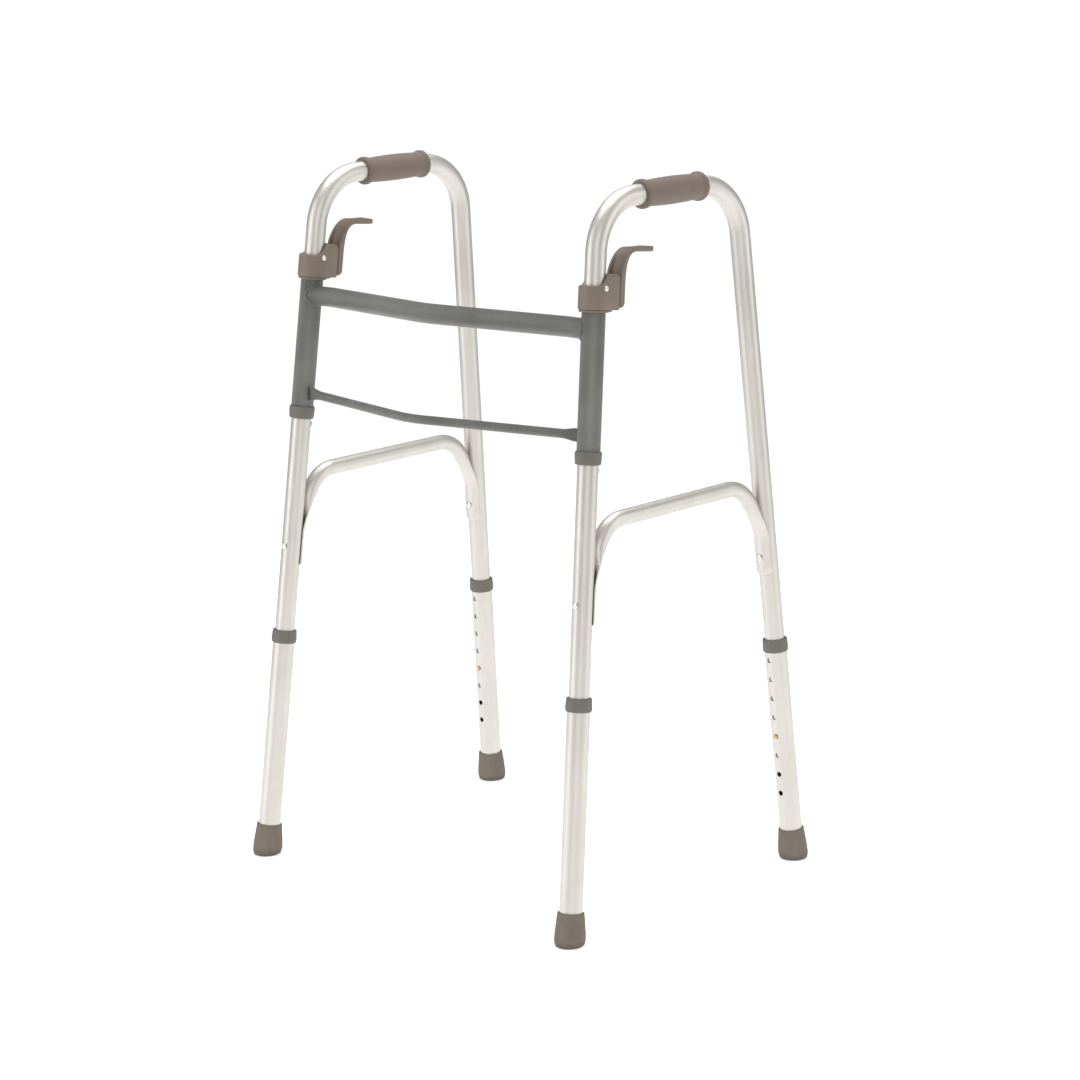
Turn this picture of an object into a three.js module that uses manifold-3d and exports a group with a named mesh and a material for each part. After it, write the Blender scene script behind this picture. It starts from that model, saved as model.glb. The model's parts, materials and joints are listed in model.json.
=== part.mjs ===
// Folding walking frame: two inverted-U side frames of aluminium tube, each turning in a post of the
// steel crossbar frame, with height-adjustable legs, snap buttons and squeeze levers that lock the fold.
// Millimetres, +Z up, floor at z = 0, crossbars towards -Y, the user stands on the +Y side.

import * as THREE from 'three';
import { mergeVertices } from 'three/addons/utils/BufferGeometryUtils.js';
import Module from 'manifold-3d';

const wasm = await Module();
wasm.setup();

// ---- Driving dimensions ----

const GAP = 0.3; // between pieces that touch
const RING_SEGMENTS = 16; // sides of the legs, posts, collars and tips
const BAR_SEGMENTS = 12; // sides of the bars, braces and rivets
const BUTTON_SEGMENTS = 8;
const PLATE_ARC_SEGMENTS = 6;

const FOOT_X = 274.9; // side frames' distance from the middle, at the floor
const FOOT_Y = 210.1; // feet in front of and behind the middle, at the floor
const SIDE_LEAN = 0.037; // inward, per unit of height
const FRONT_LEAN = 0.136; // front legs lean back
const REAR_LEAN = 0.061; // rear legs lean forward
const GRIP_HEIGHT = 882.5; // top run's axis above the front leg
const GRIP_FALL = 0.0146; // the top run drops towards the user
const TOP_BEND = { radius: 70, steps: 7 };

const TUBE_RADIUS = 12.7;
const TUBE_WALL = 1.3;
const SIDE_TUBE = { radius: TUBE_RADIUS, wall: TUBE_WALL, sides: RING_SEGMENTS };
const TUBE_END = 128; // lower ends of the side tube, along the legs

const EXTENSION_RADIUS = 14.3;
const EXTENSION_INNER_RADIUS = 13.2;
const EXTENSION_BOTTOM = 8.4;
const HOLE_RADIUS = 3.3;
const HOLE_PITCH = 25.4;
const HOLE_COUNT = 8;
const FIRST_HOLE_DROP = 24; // below the extension's top edge
const BUTTON_HOLE = 4; // index of the hole that the button stands in

const COLLAR_RADIUS = 16.4;
const COLLAR_HEIGHT = 17;
const COLLAR_LIP = 2.6;
const COLLAR_ROUND = 1.2;
const FRONT_COLLAR_TOP = 301;
const REAR_COLLAR_TOP = 296;

const TIP_HEIGHT = 40.5;
const TIP_TOP_RADIUS = 16.6;
const TIP_BOTTOM_RADIUS = 19.2;
const TIP_FLOOR = 6;
const TIP_SPARE = 8; // depth of rubber that the floor cuts away
const WASHER_RADIUS = 13.9;
const WASHER_THICKNESS = 1.6;

const BUTTON_RADIUS = 2.9;
const BUTTON_PROUD = 2.4;
const BUTTON_FLANGE = { radius: 4.4, thickness: 1, setback: 1.4 };
const CLIP = { width: 8, thickness: 0.8, length: 46, bend: 2.4, setback: 3.2, farSetback: 1.4 };

const BRACE_HEIGHT = 500;
const BRACE = { radius: 10, wall: 1.3, sides: BAR_SEGMENTS };
const BRACE_BEND = { radius: 46, steps: 4 };
const TAB_THICKNESS = 2.4;
const TAB_HALF_ANGLE = 62; // degrees around the leg
const TAB_TOP = 452;
const PRESS_END = 440; // where the round tube has become flat
const FRONT_TAB_BOTTOM = 387;
const REAR_TAB_BOTTOM = 383;
const FRONT_RIVET_HEIGHT = 412;
const REAR_RIVET_HEIGHT = 405;

const RIVET_RADIUS = 3;
const RIVET_HEAD_RADIUS = 4.4;
const RIVET_HEAD_HEIGHT = 1.9;
const STOP_HEAD = { radius: 5.6, edge: 3.2, height: 4.6 };
const HOUSING_RIVET = { headRadius: 3.6, headHeight: 1.2 };

const GRIP_START = -17.5; // along Y
const GRIP_END = 90.5;
const GRIP_FLANGE_RADIUS = 18;
const GRIP_FLANGE_WIDTH = 8;
const GRIP_NECK_RADIUS = 15.7;
const GRIP_BELLY_RADIUS = 17;

const POST_RADIUS = 14.3;
const POST_INNER_RADIUS = 13.3;
const POST_BOTTOM = 582; // along the front leg
const POST_TOP = 759;
const POST_COLLAR_HEIGHT = 16;
const STOP_RIVET_HEIGHT = 571;

const UPPER_BAR = { height: 732, radius: 12.5, wall: 1.3, bow: 34.7, sides: BAR_SEGMENTS };
const LOWER_BAR = { height: 607, radius: 5.6, wall: 1.2, bow: 54.2, sides: BUTTON_SEGMENTS };
const BAR_RISE = 2.5; // the bars climb a little towards the middle
const BAR_BEND = { radius: 110, steps: 3 };
const LOWER_BAR_TAB = { length: 20, height: 16, thickness: 3.2 };

const FLANGE_RADIUS = 18;
const FLANGE_THICKNESS = 3.1;
const NOTCH_WIDTH = 11;
const NOTCH_FLOOR = 14.6;
const NOTCH_DEPTH = 20; // reaches past the ring's edge

const HOUSING_HEIGHT = 788; // the rivet and lever datum, along the front leg
const HOUSING_RADIUS = 19.2;
const HOUSING_BOTTOM = -25.7; // the rest of the housing is measured from the datum
const HOUSING_COLLAR_TOP = 3;
const BLOCK_TOP = 17;
const BLOCK_REAR = 31;
const BLOCK_HALF_WIDTH = 13.6;
const LEVER_PIVOT = new THREE.Vector2(22, 4);
const TRUNNION_RADIUS = 3;
const TRUNNION_HALF_LENGTH = 9;
const TONGUE_WIDTH = 10;
const SLOT_WIDTH = 11.2;
const SLOT_SETBACK = 0.5; // behind the leg
const LEVER_WIDTH = 25;
const LEVER_WEB_FACE = 31.8;
const LEVER_BACK = 40.6;
const PADDLE = { start: 60, top: 49, underside: 43.8 };
const PADDLE_TIP = { y: 86.5, z: 47.6, radius: 3.2 };
const SCOOP = { bottom: 9, top: 41, floor: 35.5, rib: 3.4 };
const TOE = { near: 19.2, far: 26, bottom: -28.4 };
const TONGUE_BACK = 33;
const KNUCKLE_RADIUS = 6.6; // of the tongue, round the pivot
const LEVER_SPRING = { height: 14, radius: 2.2, wire: 0.5, turns: 5 };

// ---- Colours and finishes ----

const finish = (color, roughness, metalness) =>
  new THREE.MeshStandardMaterial({ color, roughness, metalness });
const ALUMINIUM = finish(0xd2cfc8, 0.42, 0.9);
const GREY_PAINT = finish(0x80827f, 0.5, 0.2);
const TAUPE_PLASTIC = finish(0x7d7168, 0.55, 0);
const GREY_PLASTIC = finish(0x73716a, 0.55, 0);
const RUBBER = finish(0x7b7269, 0.8, 0);
const BRIGHT_STEEL = finish(0xc9c9c6, 0.3, 1);
const BRASSY_STEEL = finish(0xc2a878, 0.35, 1);

// ---- Solids ----

function toSolid(geometry) {
  const bare = geometry.index ? geometry.toNonIndexed() : geometry.clone();
  bare.deleteAttribute('normal');
  bare.deleteAttribute('uv');
  const merged = mergeVertices(bare, 1e-4);
  const mesh = new wasm.Mesh({
    numProp: 3,
    vertProperties: new Float32Array(merged.attributes.position.array),
    triVerts: new Uint32Array(merged.index.array),
  });
  return new wasm.Manifold(mesh);
}

function toGeometry(solid) {
  const { vertProperties, triVerts } = solid.getMesh();
  const geometry = new THREE.BufferGeometry();
  geometry.setAttribute('position', new THREE.BufferAttribute(vertProperties, 3));
  geometry.setIndex(new THREE.BufferAttribute(triVerts, 1));
  geometry.computeVertexNormals();
  return geometry;
}

const join = (...parts) => toGeometry(parts.map(toSolid).reduce((all, part) => all.add(part)));
const cut = (base, ...tools) =>
  toGeometry(tools.map(toSolid).reduce((rest, tool) => rest.subtract(tool), toSolid(base)));
const common = (one, two) => toGeometry(toSolid(one).intersect(toSolid(two)));

// A turned piece about Z from [radius, z] pairs that run up its outside.
function turned(profile, segments = RING_SEGMENTS) {
  const points = profile.map(([radius, z]) => new THREE.Vector2(radius, z));
  return new THREE.LatheGeometry(points, segments).rotateX(Math.PI / 2);
}

function ring(inner, outer, bottom, top, segments) {
  return turned(
    [[inner, bottom], [outer, bottom], [outer, top], [inner, top], [inner, bottom]],
    segments,
  );
}

function rod(radius, bottom, top, segments = RING_SEGMENTS) {
  return turned([[0, bottom], [radius, bottom], [radius, top], [0, top]], segments);
}

function block(width, depth, bottom, top) {
  return new THREE.BoxGeometry(width, depth, top - bottom).translate(0, 0, (top + bottom) / 2);
}

function tubeSection(radius, wall) {
  const section = new THREE.Shape().absarc(0, 0, radius, 0, 2 * Math.PI);
  section.holes.push(new THREE.Path().absarc(0, 0, radius - wall, 0, 2 * Math.PI));
  return section;
}

// A flat outline in the (y, z) plane, extruded across x.
function plate(outline, width) {
  const options = { depth: width, bevelEnabled: false, curveSegments: PLATE_ARC_SEGMENTS };
  return new THREE.ExtrudeGeometry(outline, options)
    .translate(0, 0, -width / 2)
    .applyMatrix4(new THREE.Matrix4().makeBasis(
      new THREE.Vector3(0, 1, 0), new THREE.Vector3(0, 0, 1), new THREE.Vector3(1, 0, 0),
    ));
}

// ---- Bent tubes ----

// Straight runs joined by arcs. Stations lie only at the ends of runs and along the arcs.
class BentPath extends THREE.Curve {
  constructor(corners, radius, arcSteps) {
    super();
    this.stations = [{ point: corners[0], tangent: direction(corners[0], corners[1]) }];
    for (let i = 1; i < corners.length - 1; i += 1) {
      this.addArc(corners[i - 1], corners[i], corners[i + 1], radius, arcSteps);
    }
    const [before, last] = corners.slice(-2);
    this.stations.push({ point: last, tangent: direction(before, last) });
  }

  addArc(before, corner, after, radius, arcSteps) {
    const along = direction(before, corner);
    const away = direction(corner, after);
    const turn = along.angleTo(away);
    const start = corner.clone().addScaledVector(along, -radius * Math.tan(turn / 2));
    const inward = away.clone().addScaledVector(along, -away.dot(along)).normalize();
    for (let step = 0; step <= arcSteps; step += 1) {
      const angle = (turn * step) / arcSteps;
      const point = start.clone()
        .addScaledVector(along, radius * Math.sin(angle))
        .addScaledVector(inward, radius * (1 - Math.cos(angle)));
      const tangent = along.clone().multiplyScalar(Math.cos(angle))
        .addScaledVector(inward, Math.sin(angle));
      this.stations.push({ point, tangent });
    }
  }

  station(t) {
    return this.stations[Math.round(t * (this.stations.length - 1))];
  }

  getPointAt(t, target = new THREE.Vector3()) {
    return target.copy(this.station(t).point);
  }

  getTangentAt(t, target = new THREE.Vector3()) {
    return target.copy(this.station(t).tangent);
  }
}

const direction = (from, to) => to.clone().sub(from).normalize();

function bentTube(corners, bend, { radius, wall, sides }) {
  const extrudePath = new BentPath(corners, bend.radius, bend.steps);
  return new THREE.ExtrudeGeometry(tubeSection(radius, wall), {
    extrudePath,
    steps: extrudePath.stations.length - 1,
    curveSegments: sides / 2,
  });
}

// ---- The frame's layout ----

// A side frame's plane: local x is its normal, local z climbs the lean, local y stays level.
const sidePlane = (sign) => new THREE.Matrix4()
  .makeTranslation(sign * FOOT_X, 0, 0)
  .multiply(new THREE.Matrix4().makeRotationY(-sign * Math.atan(SIDE_LEAN)));

// A leg's own frame inside the side plane: z runs up the leg, +y points into the side frame.
const frontLeg = new THREE.Matrix4()
  .makeTranslation(0, -FOOT_Y, 0)
  .multiply(new THREE.Matrix4().makeRotationX(-Math.atan(FRONT_LEAN)));
const rearLeg = new THREE.Matrix4()
  .makeTranslation(0, FOOT_Y, 0)
  .multiply(new THREE.Matrix4().makeRotationX(Math.atan(REAR_LEAN)))
  .multiply(new THREE.Matrix4().makeRotationZ(Math.PI));

const onLeg = (leg, height) => new THREE.Vector3(0, 0, height).applyMatrix4(leg);

// Where a leg's axis, or a line beside it, reaches a height in the side plane.
const frontLineY = (height, offset = 0) =>
  -FOOT_Y + FRONT_LEAN * height + offset * Math.hypot(1, FRONT_LEAN);
const rearLineY = (height, offset = 0) =>
  FOOT_Y - REAR_LEAN * height - offset * Math.hypot(1, REAR_LEAN);

const frontCorner = new THREE.Vector3(0, frontLineY(GRIP_HEIGHT), GRIP_HEIGHT);
const topSpan = rearLineY(GRIP_HEIGHT) - frontLineY(GRIP_HEIGHT);
const rearCorner = new THREE.Vector3(
  0, rearLineY(GRIP_HEIGHT), GRIP_HEIGHT - GRIP_FALL * topSpan,
);

const frame = new THREE.Group();

function place(name, geometry, material, ...matrices) {
  const mesh = new THREE.Mesh(geometry, material);
  mesh.name = name;
  matrices.reduce((all, next) => all.multiply(next), new THREE.Matrix4())
    .decompose(mesh.position, mesh.quaternion, mesh.scale);
  frame.add(mesh);
}

// ---- Rivets and their holes ----

// A cross hole or shank lies along the leg frame's y.
const across = (geometry, height) => geometry.rotateX(-Math.PI / 2).translate(0, 0, height);
const crossHole = (radius, from, to, height) =>
  across(rod(radius, from, to, BUTTON_SEGMENTS), height);

function rivet(tailDepth, headDepth, headRadius = RIVET_HEAD_RADIUS, headHeight = RIVET_HEAD_HEIGHT) {
  const crown = headRadius * 0.55;
  return turned([
    [0, -tailDepth - RIVET_HEAD_HEIGHT],
    [RIVET_HEAD_RADIUS * 0.55, -tailDepth - RIVET_HEAD_HEIGHT],
    [RIVET_HEAD_RADIUS, -tailDepth],
    [RIVET_RADIUS, -tailDepth],
    [RIVET_RADIUS, headDepth],
    [headRadius, headDepth],
    [headRadius, headDepth + headHeight * 0.45],
    [crown, headDepth + headHeight],
    [0, headDepth + headHeight],
  ], BUTTON_SEGMENTS);
}

const SHANK_HOLE = RIVET_RADIUS + GAP;
const TUBE_FACE = TUBE_RADIUS + GAP;
const TAB_FACE = TUBE_FACE + TAB_THICKNESS + GAP;
const BRACE_OFFSET = TUBE_FACE + BRACE.radius - 1; // brace's axis from the leg's

// ---- Side tube, grip and brace ----

const frontTop = FRONT_COLLAR_TOP - COLLAR_LIP - GAP;
const rearTop = REAR_COLLAR_TOP - COLLAR_LIP - GAP;
const buttonHeight = (extensionTop) => extensionTop - FIRST_HOLE_DROP - BUTTON_HOLE * HOLE_PITCH;

function sideTube() {
  const corners = [onLeg(frontLeg, TUBE_END), frontCorner, rearCorner, onLeg(rearLeg, TUBE_END)];
  const tube = bentTube(corners, TOP_BEND, SIDE_TUBE);
  const through = (height) => crossHole(SHANK_HOLE, -20, 20, height);
  const blind = (radius, height) => crossHole(radius, 0, 20, height);
  const frontHoles = [
    through(FRONT_RIVET_HEIGHT),
    blind(SHANK_HOLE, STOP_RIVET_HEIGHT),
    through(HOUSING_HEIGHT).translate(0, 0, -HOUSING_HEIGHT).rotateZ(Math.PI / 2)
      .translate(0, 0, HOUSING_HEIGHT),
    blind(HOLE_RADIUS, buttonHeight(frontTop)),
  ].map((hole) => hole.applyMatrix4(frontLeg));
  const rearHoles = [
    through(REAR_RIVET_HEIGHT),
    blind(HOLE_RADIUS, buttonHeight(rearTop)),
  ].map((hole) => hole.applyMatrix4(rearLeg));
  return cut(tube, ...frontHoles, ...rearHoles);
}

function handgrip() {
  const length = GRIP_END - GRIP_START;
  const bore = TUBE_RADIUS + GAP;
  const belly = Array.from({ length: 5 }, (_, i) => {
    const share = i / 4;
    const swell = (GRIP_BELLY_RADIUS - GRIP_NECK_RADIUS) * Math.sin(Math.PI * share);
    return [
      GRIP_NECK_RADIUS + swell,
      GRIP_FLANGE_WIDTH + share * (length - 2 * GRIP_FLANGE_WIDTH),
    ];
  });
  const flange = (start) => [
    [GRIP_FLANGE_RADIUS - 1.6, start],
    [GRIP_FLANGE_RADIUS, start + GRIP_FLANGE_WIDTH * 0.3],
    [GRIP_FLANGE_RADIUS, start + GRIP_FLANGE_WIDTH * 0.7],
    [GRIP_FLANGE_RADIUS - 1.4, start + GRIP_FLANGE_WIDTH],
  ];
  const profile = [
    [bore, 0], ...flange(0), ...belly, ...flange(length - GRIP_FLANGE_WIDTH),
    [bore, length], [bore, 0],
  ];
  return turned(profile);
}

const gripPlace = new THREE.Matrix4()
  .makeTranslation(0, GRIP_START, GRIP_HEIGHT - GRIP_FALL * (GRIP_START - frontCorner.y))
  .multiply(new THREE.Matrix4().makeRotationX(-Math.PI / 2 - Math.atan(GRIP_FALL)));

// A brace end pressed flat and cupped round the leg.
function braceTab(bottom) {
  const half = THREE.MathUtils.degToRad(TAB_HALF_ANGLE);
  const middle = Math.PI / 2;
  const section = new THREE.Shape()
    .absarc(0, 0, TUBE_FACE + TAB_THICKNESS, middle - half, middle + half)
    .absarc(0, 0, TUBE_FACE, middle + half, middle - half, true);
  return new THREE.ExtrudeGeometry(section, {
    depth: TAB_TOP - bottom, bevelEnabled: false, curveSegments: 4,
  }).translate(0, 0, bottom);
}

// Flattens an arch's last ring of points on to the leg it stands against.
function pressOnto(leg, arch) {
  const position = arch.attributes.position;
  const point = new THREE.Vector3();
  const toLeg = leg.clone().invert();
  const nearest = BRACE_OFFSET - BRACE.radius;
  for (let i = 0; i < position.count; i += 1) {
    point.fromBufferAttribute(position, i).applyMatrix4(toLeg);
    const isLast = point.z < PRESS_END + GAP + BRACE.radius / 2 && point.y < 2 * BRACE_OFFSET;
    if (isLast) {
      const share = (point.y - nearest) / (2 * BRACE.radius);
      const reach = TUBE_FACE + TAB_THICKNESS * (0.05 + 0.85 * share);
      point.y = Math.sqrt(reach * reach - point.x * point.x);
      point.applyMatrix4(leg);
      position.setXYZ(i, point.x, point.y, point.z);
    }
  }
}

function sideBrace() {
  const corners = [
    new THREE.Vector3(0, frontLineY(PRESS_END, BRACE_OFFSET), PRESS_END),
    new THREE.Vector3(0, frontLineY(BRACE_HEIGHT, BRACE_OFFSET), BRACE_HEIGHT),
    new THREE.Vector3(0, rearLineY(BRACE_HEIGHT, BRACE_OFFSET), BRACE_HEIGHT),
    new THREE.Vector3(0, rearLineY(PRESS_END, BRACE_OFFSET), PRESS_END),
  ];
  const arch = bentTube(corners, BRACE_BEND, BRACE);
  pressOnto(frontLeg, arch);
  pressOnto(rearLeg, arch);
  const legClearance = (leg) => rod(TUBE_FACE, TUBE_END, BRACE_HEIGHT + 60).applyMatrix4(leg);
  const tabs = join(
    arch,
    braceTab(FRONT_TAB_BOTTOM).applyMatrix4(frontLeg),
    braceTab(REAR_TAB_BOTTOM).applyMatrix4(rearLeg),
  );
  return cut(
    tabs,
    legClearance(frontLeg),
    legClearance(rearLeg),
    crossHole(SHANK_HOLE, 5, 24, FRONT_RIVET_HEIGHT).applyMatrix4(frontLeg),
    crossHole(SHANK_HOLE, 5, 24, REAR_RIVET_HEIGHT).applyMatrix4(rearLeg),
  );
}

// ---- Leg extensions, collars, feet ----

function legExtension(top) {
  const tube = ring(EXTENSION_INNER_RADIUS, EXTENSION_RADIUS, EXTENSION_BOTTOM, top);
  const holes = Array.from({ length: HOLE_COUNT }, (_, i) =>
    crossHole(HOLE_RADIUS, 5, 20, top - FIRST_HOLE_DROP - i * HOLE_PITCH));
  return cut(tube, ...holes);
}

// A cap over a tube's end: the skirt grips the outer tube, the lip runs on the inner one.
function collar(height) {
  const bore = TUBE_RADIUS + 0.4;
  const skirt = EXTENSION_RADIUS + GAP;
  return turned([
    [skirt, 0],
    [COLLAR_RADIUS - COLLAR_ROUND, 0],
    [COLLAR_RADIUS, COLLAR_ROUND],
    [COLLAR_RADIUS, height - COLLAR_ROUND],
    [COLLAR_RADIUS - COLLAR_ROUND, height],
    [bore, height],
    [bore, height - COLLAR_LIP],
    [skirt, height - COLLAR_LIP],
    [skirt, 0],
  ]);
}

// A rubber tip, cut level with the floor however its leg leans.
function footTip(side, leg) {
  const bore = EXTENSION_RADIUS + GAP;
  const tip = turned([
    [0, -TIP_SPARE],
    [TIP_BOTTOM_RADIUS, -TIP_SPARE],
    [TIP_BOTTOM_RADIUS, 6],
    [TIP_TOP_RADIUS + 0.6, TIP_HEIGHT * 0.62],
    [TIP_TOP_RADIUS, TIP_HEIGHT - 1.5],
    [TIP_TOP_RADIUS - 1, TIP_HEIGHT],
    [bore, TIP_HEIGHT],
    [bore, TIP_FLOOR],
    [0, TIP_FLOOR],
  ]);
  const underFloor = new THREE.BoxGeometry(100, 100, 40).translate(0, 0, -20);
  const intoLeg = side.clone().multiply(leg).setPosition(0, 0, 0).invert();
  return cut(tip, underFloor.applyMatrix4(intoLeg));
}

// ---- Snap buttons ----

// The button stands in the holes of both tubes, held by a flange behind the inner wall.
function snapButton() {
  const { radius, thickness, setback } = BUTTON_FLANGE;
  const back = TUBE_RADIUS - TUBE_WALL - setback;
  const face = EXTENSION_RADIUS + BUTTON_PROUD;
  return across(turned([
    [0, back - thickness],
    [radius, back - thickness],
    [radius, back],
    [BUTTON_RADIUS, back],
    [BUTTON_RADIUS, face - 1.5],
    [BUTTON_RADIUS * 0.6, face - 0.3],
    [0, face],
  ], BUTTON_SEGMENTS), 0);
}

// A hairpin of spring strip inside the tube: one leg backs the button, the other the far wall.
function clipSpring() {
  const near = TUBE_RADIUS - TUBE_WALL - CLIP.setback;
  const far = -near - CLIP.farSetback;
  const { bend } = CLIP;
  const drop = -CLIP.length;
  const half = CLIP.thickness / 2;
  const middle = (near + far) / 2;
  const strip = new THREE.Shape()
    .moveTo(near - half, 6)
    .lineTo(middle + bend - half, drop)
    .absarc(middle, drop, bend - half, 0, -Math.PI, true)
    .lineTo(far + half, 2)
    .lineTo(far - half, 2)
    .lineTo(middle - bend - half, drop)
    .absarc(middle, drop, bend + half, -Math.PI, 0, false)
    .lineTo(near + half, 6)
    .closePath();
  return plate(strip, CLIP.width);
}

// ---- Posts and crossbars ----

function post() {
  return ring(POST_INNER_RADIUS, POST_RADIUS, POST_BOTTOM, POST_TOP);
}

// The pressed ring on the post's top, with the notch beside the lever's toe.
function topBushing() {
  const disc = ring(POST_INNER_RADIUS, FLANGE_RADIUS, POST_TOP + GAP, POST_TOP + FLANGE_THICKNESS);
  const notch = block(NOTCH_WIDTH, NOTCH_DEPTH, POST_TOP - 1, POST_TOP + 10)
    .translate(0, NOTCH_FLOOR + NOTCH_DEPTH / 2, 0);
  return cut(disc, notch);
}

const postAxisAt = (sign, height) => new THREE.Vector3(
  sign * (FOOT_X - SIDE_LEAN * height), -FOOT_Y + FRONT_LEAN * height, height,
);

function barTube(bar, inset) {
  const { height, bow } = bar;
  const ends = [-1, 1].map((sign) => postAxisAt(sign, height).setX(
    sign * (FOOT_X - SIDE_LEAN * height - inset),
  ));
  const middle = new THREE.Vector3(0, ends[0].y - bow, height + BAR_RISE);
  return bentTube([ends[0], middle, ends[1]], BAR_BEND, bar);
}

const postClearance = (sign) =>
  rod(POST_RADIUS + GAP, POST_BOTTOM - 20, POST_TOP + 20).applyMatrix4(
    sidePlane(sign).multiply(frontLeg),
  );

const upperCrossbar = () =>
  cut(barTube(UPPER_BAR, 0), postClearance(-1), postClearance(1));

// The thin bar ends in upright tabs, flattened from the same tube.
function lowerCrossbar() {
  const { length, height, thickness } = LOWER_BAR_TAB;
  const slope = Math.atan2(LOWER_BAR.bow, FOOT_X - SIDE_LEAN * LOWER_BAR.height);
  const reach = POST_RADIUS + length;
  const tab = (sign) => new THREE.BoxGeometry(reach, thickness, height)
    .translate(-sign * reach / 2, 0, 0)
    .rotateZ(sign * slope)
    .translate(...postAxisAt(sign, LOWER_BAR.height).toArray());
  const bar = barTube(LOWER_BAR, POST_RADIUS + length - 3);
  return cut(join(bar, tab(-1), tab(1)), postClearance(-1), postClearance(1));
}

// ---- Release housing and lever ----

// Seen along the leg: a round collar whose sides run back to a narrower block.
function housingPlan() {
  const corner = 2;
  const rear = new THREE.Vector2(BLOCK_HALF_WIDTH, BLOCK_REAR - corner);
  const reach = rear.length();
  const tangent = Math.atan2(rear.y, rear.x) - Math.acos(HOUSING_RADIUS / reach);
  const plan = new THREE.Shape()
    .absarc(0, 0, HOUSING_RADIUS, Math.PI - tangent, 2 * Math.PI + tangent)
    .lineTo(rear.x, rear.y)
    .absarc(rear.x - corner, rear.y, corner, 0, Math.PI / 2)
    .absarc(-rear.x + corner, rear.y, corner, Math.PI / 2, Math.PI)
    .closePath();
  return new THREE.ExtrudeGeometry(plan, {
    depth: BLOCK_TOP - HOUSING_BOTTOM, bevelEnabled: false, curveSegments: BAR_SEGMENTS,
  }).translate(0, 0, HOUSING_BOTTOM);
}

// Seen from the side: a low collar in front that rises to a block with a rounded back.
function housingProfile() {
  const front = -HOUSING_RADIUS - 1;
  const { x, y } = LEVER_PIVOT;
  const back = BLOCK_REAR - x;
  const profile = new THREE.Shape()
    .moveTo(front, HOUSING_BOTTOM)
    .lineTo(BLOCK_REAR, HOUSING_BOTTOM)
    .lineTo(BLOCK_REAR, y)
    .absarc(x, y, back, 0, Math.PI / 3)
    .lineTo(BLOCK_REAR - 6, BLOCK_TOP - 2)
    .lineTo(BLOCK_REAR - 8, BLOCK_TOP)
    .lineTo(10, BLOCK_TOP)
    .quadraticCurveTo(6, BLOCK_TOP, 4, 10)
    .quadraticCurveTo(2, HOUSING_COLLAR_TOP, -4, HOUSING_COLLAR_TOP)
    .lineTo(front + 3, HOUSING_COLLAR_TOP)
    .lineTo(front + 1, HOUSING_COLLAR_TOP - 2)
    .closePath();
  return plate(profile, 3 * HOUSING_RADIUS);
}

function releaseHousing() {
  const { x, y } = LEVER_PIVOT;
  const slot = block(SLOT_WIDTH, 40, HOUSING_BOTTOM - 1, BLOCK_TOP + 1)
    .translate(0, TUBE_FACE + SLOT_SETBACK + 20, 0);
  const reach = TRUNNION_HALF_LENGTH + GAP;
  const recess = rod(TRUNNION_RADIUS + GAP, -reach, reach, BUTTON_SEGMENTS)
    .rotateY(Math.PI / 2)
    .translate(0, x, y);
  const bore = rod(TUBE_FACE, HOUSING_BOTTOM - 1, BLOCK_TOP + 1);
  const rivetHole = rod(SHANK_HOLE, -25, 25, BUTTON_SEGMENTS).rotateY(Math.PI / 2);
  return cut(common(housingPlan(), housingProfile()), bore, slot, recess, rivetHole);
}

// The tongue turns inside the housing and ends in a toe behind the post's ring. The web and paddle
// run outside, with a scoop between two ribs on the front. Outlines are (y, z) points from the datum.
function releaseLever() {
  const paddle = new THREE.Shape()
    .moveTo(LEVER_WEB_FACE, -23.5)
    .lineTo(38.8, -20.6)
    .lineTo(40.3, -17)
    .lineTo(LEVER_BACK, 10)
    .bezierCurveTo(40.9, 34, 46, 43.6, PADDLE.start, PADDLE.underside)
    .lineTo(PADDLE_TIP.y - 2, 44.6)
    .absarc(PADDLE_TIP.y, PADDLE_TIP.z, PADDLE_TIP.radius, -Math.PI / 2, Math.PI / 2)
    .lineTo(PADDLE.start, PADDLE.top)
    .bezierCurveTo(48, 47.6, 41, 38, 36.5, 29)
    .lineTo(34.5, 24)
    .bezierCurveTo(32.8, 20, 32, 14, LEVER_WEB_FACE, 6)
    .closePath();
  const scoop = new THREE.Shape()
    .moveTo(20, SCOOP.bottom)
    .lineTo(SCOOP.floor, SCOOP.bottom)
    .lineTo(SCOOP.floor, SCOOP.bottom + 7)
    .quadraticCurveTo(SCOOP.floor + 2, 28, 45, SCOOP.top)
    .lineTo(20, SCOOP.top)
    .closePath();
  const tongue = new THREE.Shape()
    .moveTo(TOE.near, TOE.bottom)
    .lineTo(TOE.far, TOE.bottom)
    .lineTo(TONGUE_BACK, -22)
    .lineTo(TONGUE_BACK, 8)
    .lineTo(27, 9)
    .absarc(LEVER_PIVOT.x, LEVER_PIVOT.y, KNUCKLE_RADIUS, Math.PI / 3, Math.PI * 0.9)
    .lineTo(17.6, -24.4)
    .closePath();
  const trunnion = rod(TRUNNION_RADIUS, -TRUNNION_HALF_LENGTH, TRUNNION_HALF_LENGTH, BUTTON_SEGMENTS)
    .rotateY(Math.PI / 2)
    .translate(0, LEVER_PIVOT.x, LEVER_PIVOT.y);
  const scooped = cut(plate(paddle, LEVER_WIDTH), plate(scoop, LEVER_WIDTH - 2 * SCOOP.rib));
  return join(scooped, plate(tongue, TONGUE_WIDTH), trunnion);
}

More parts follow.
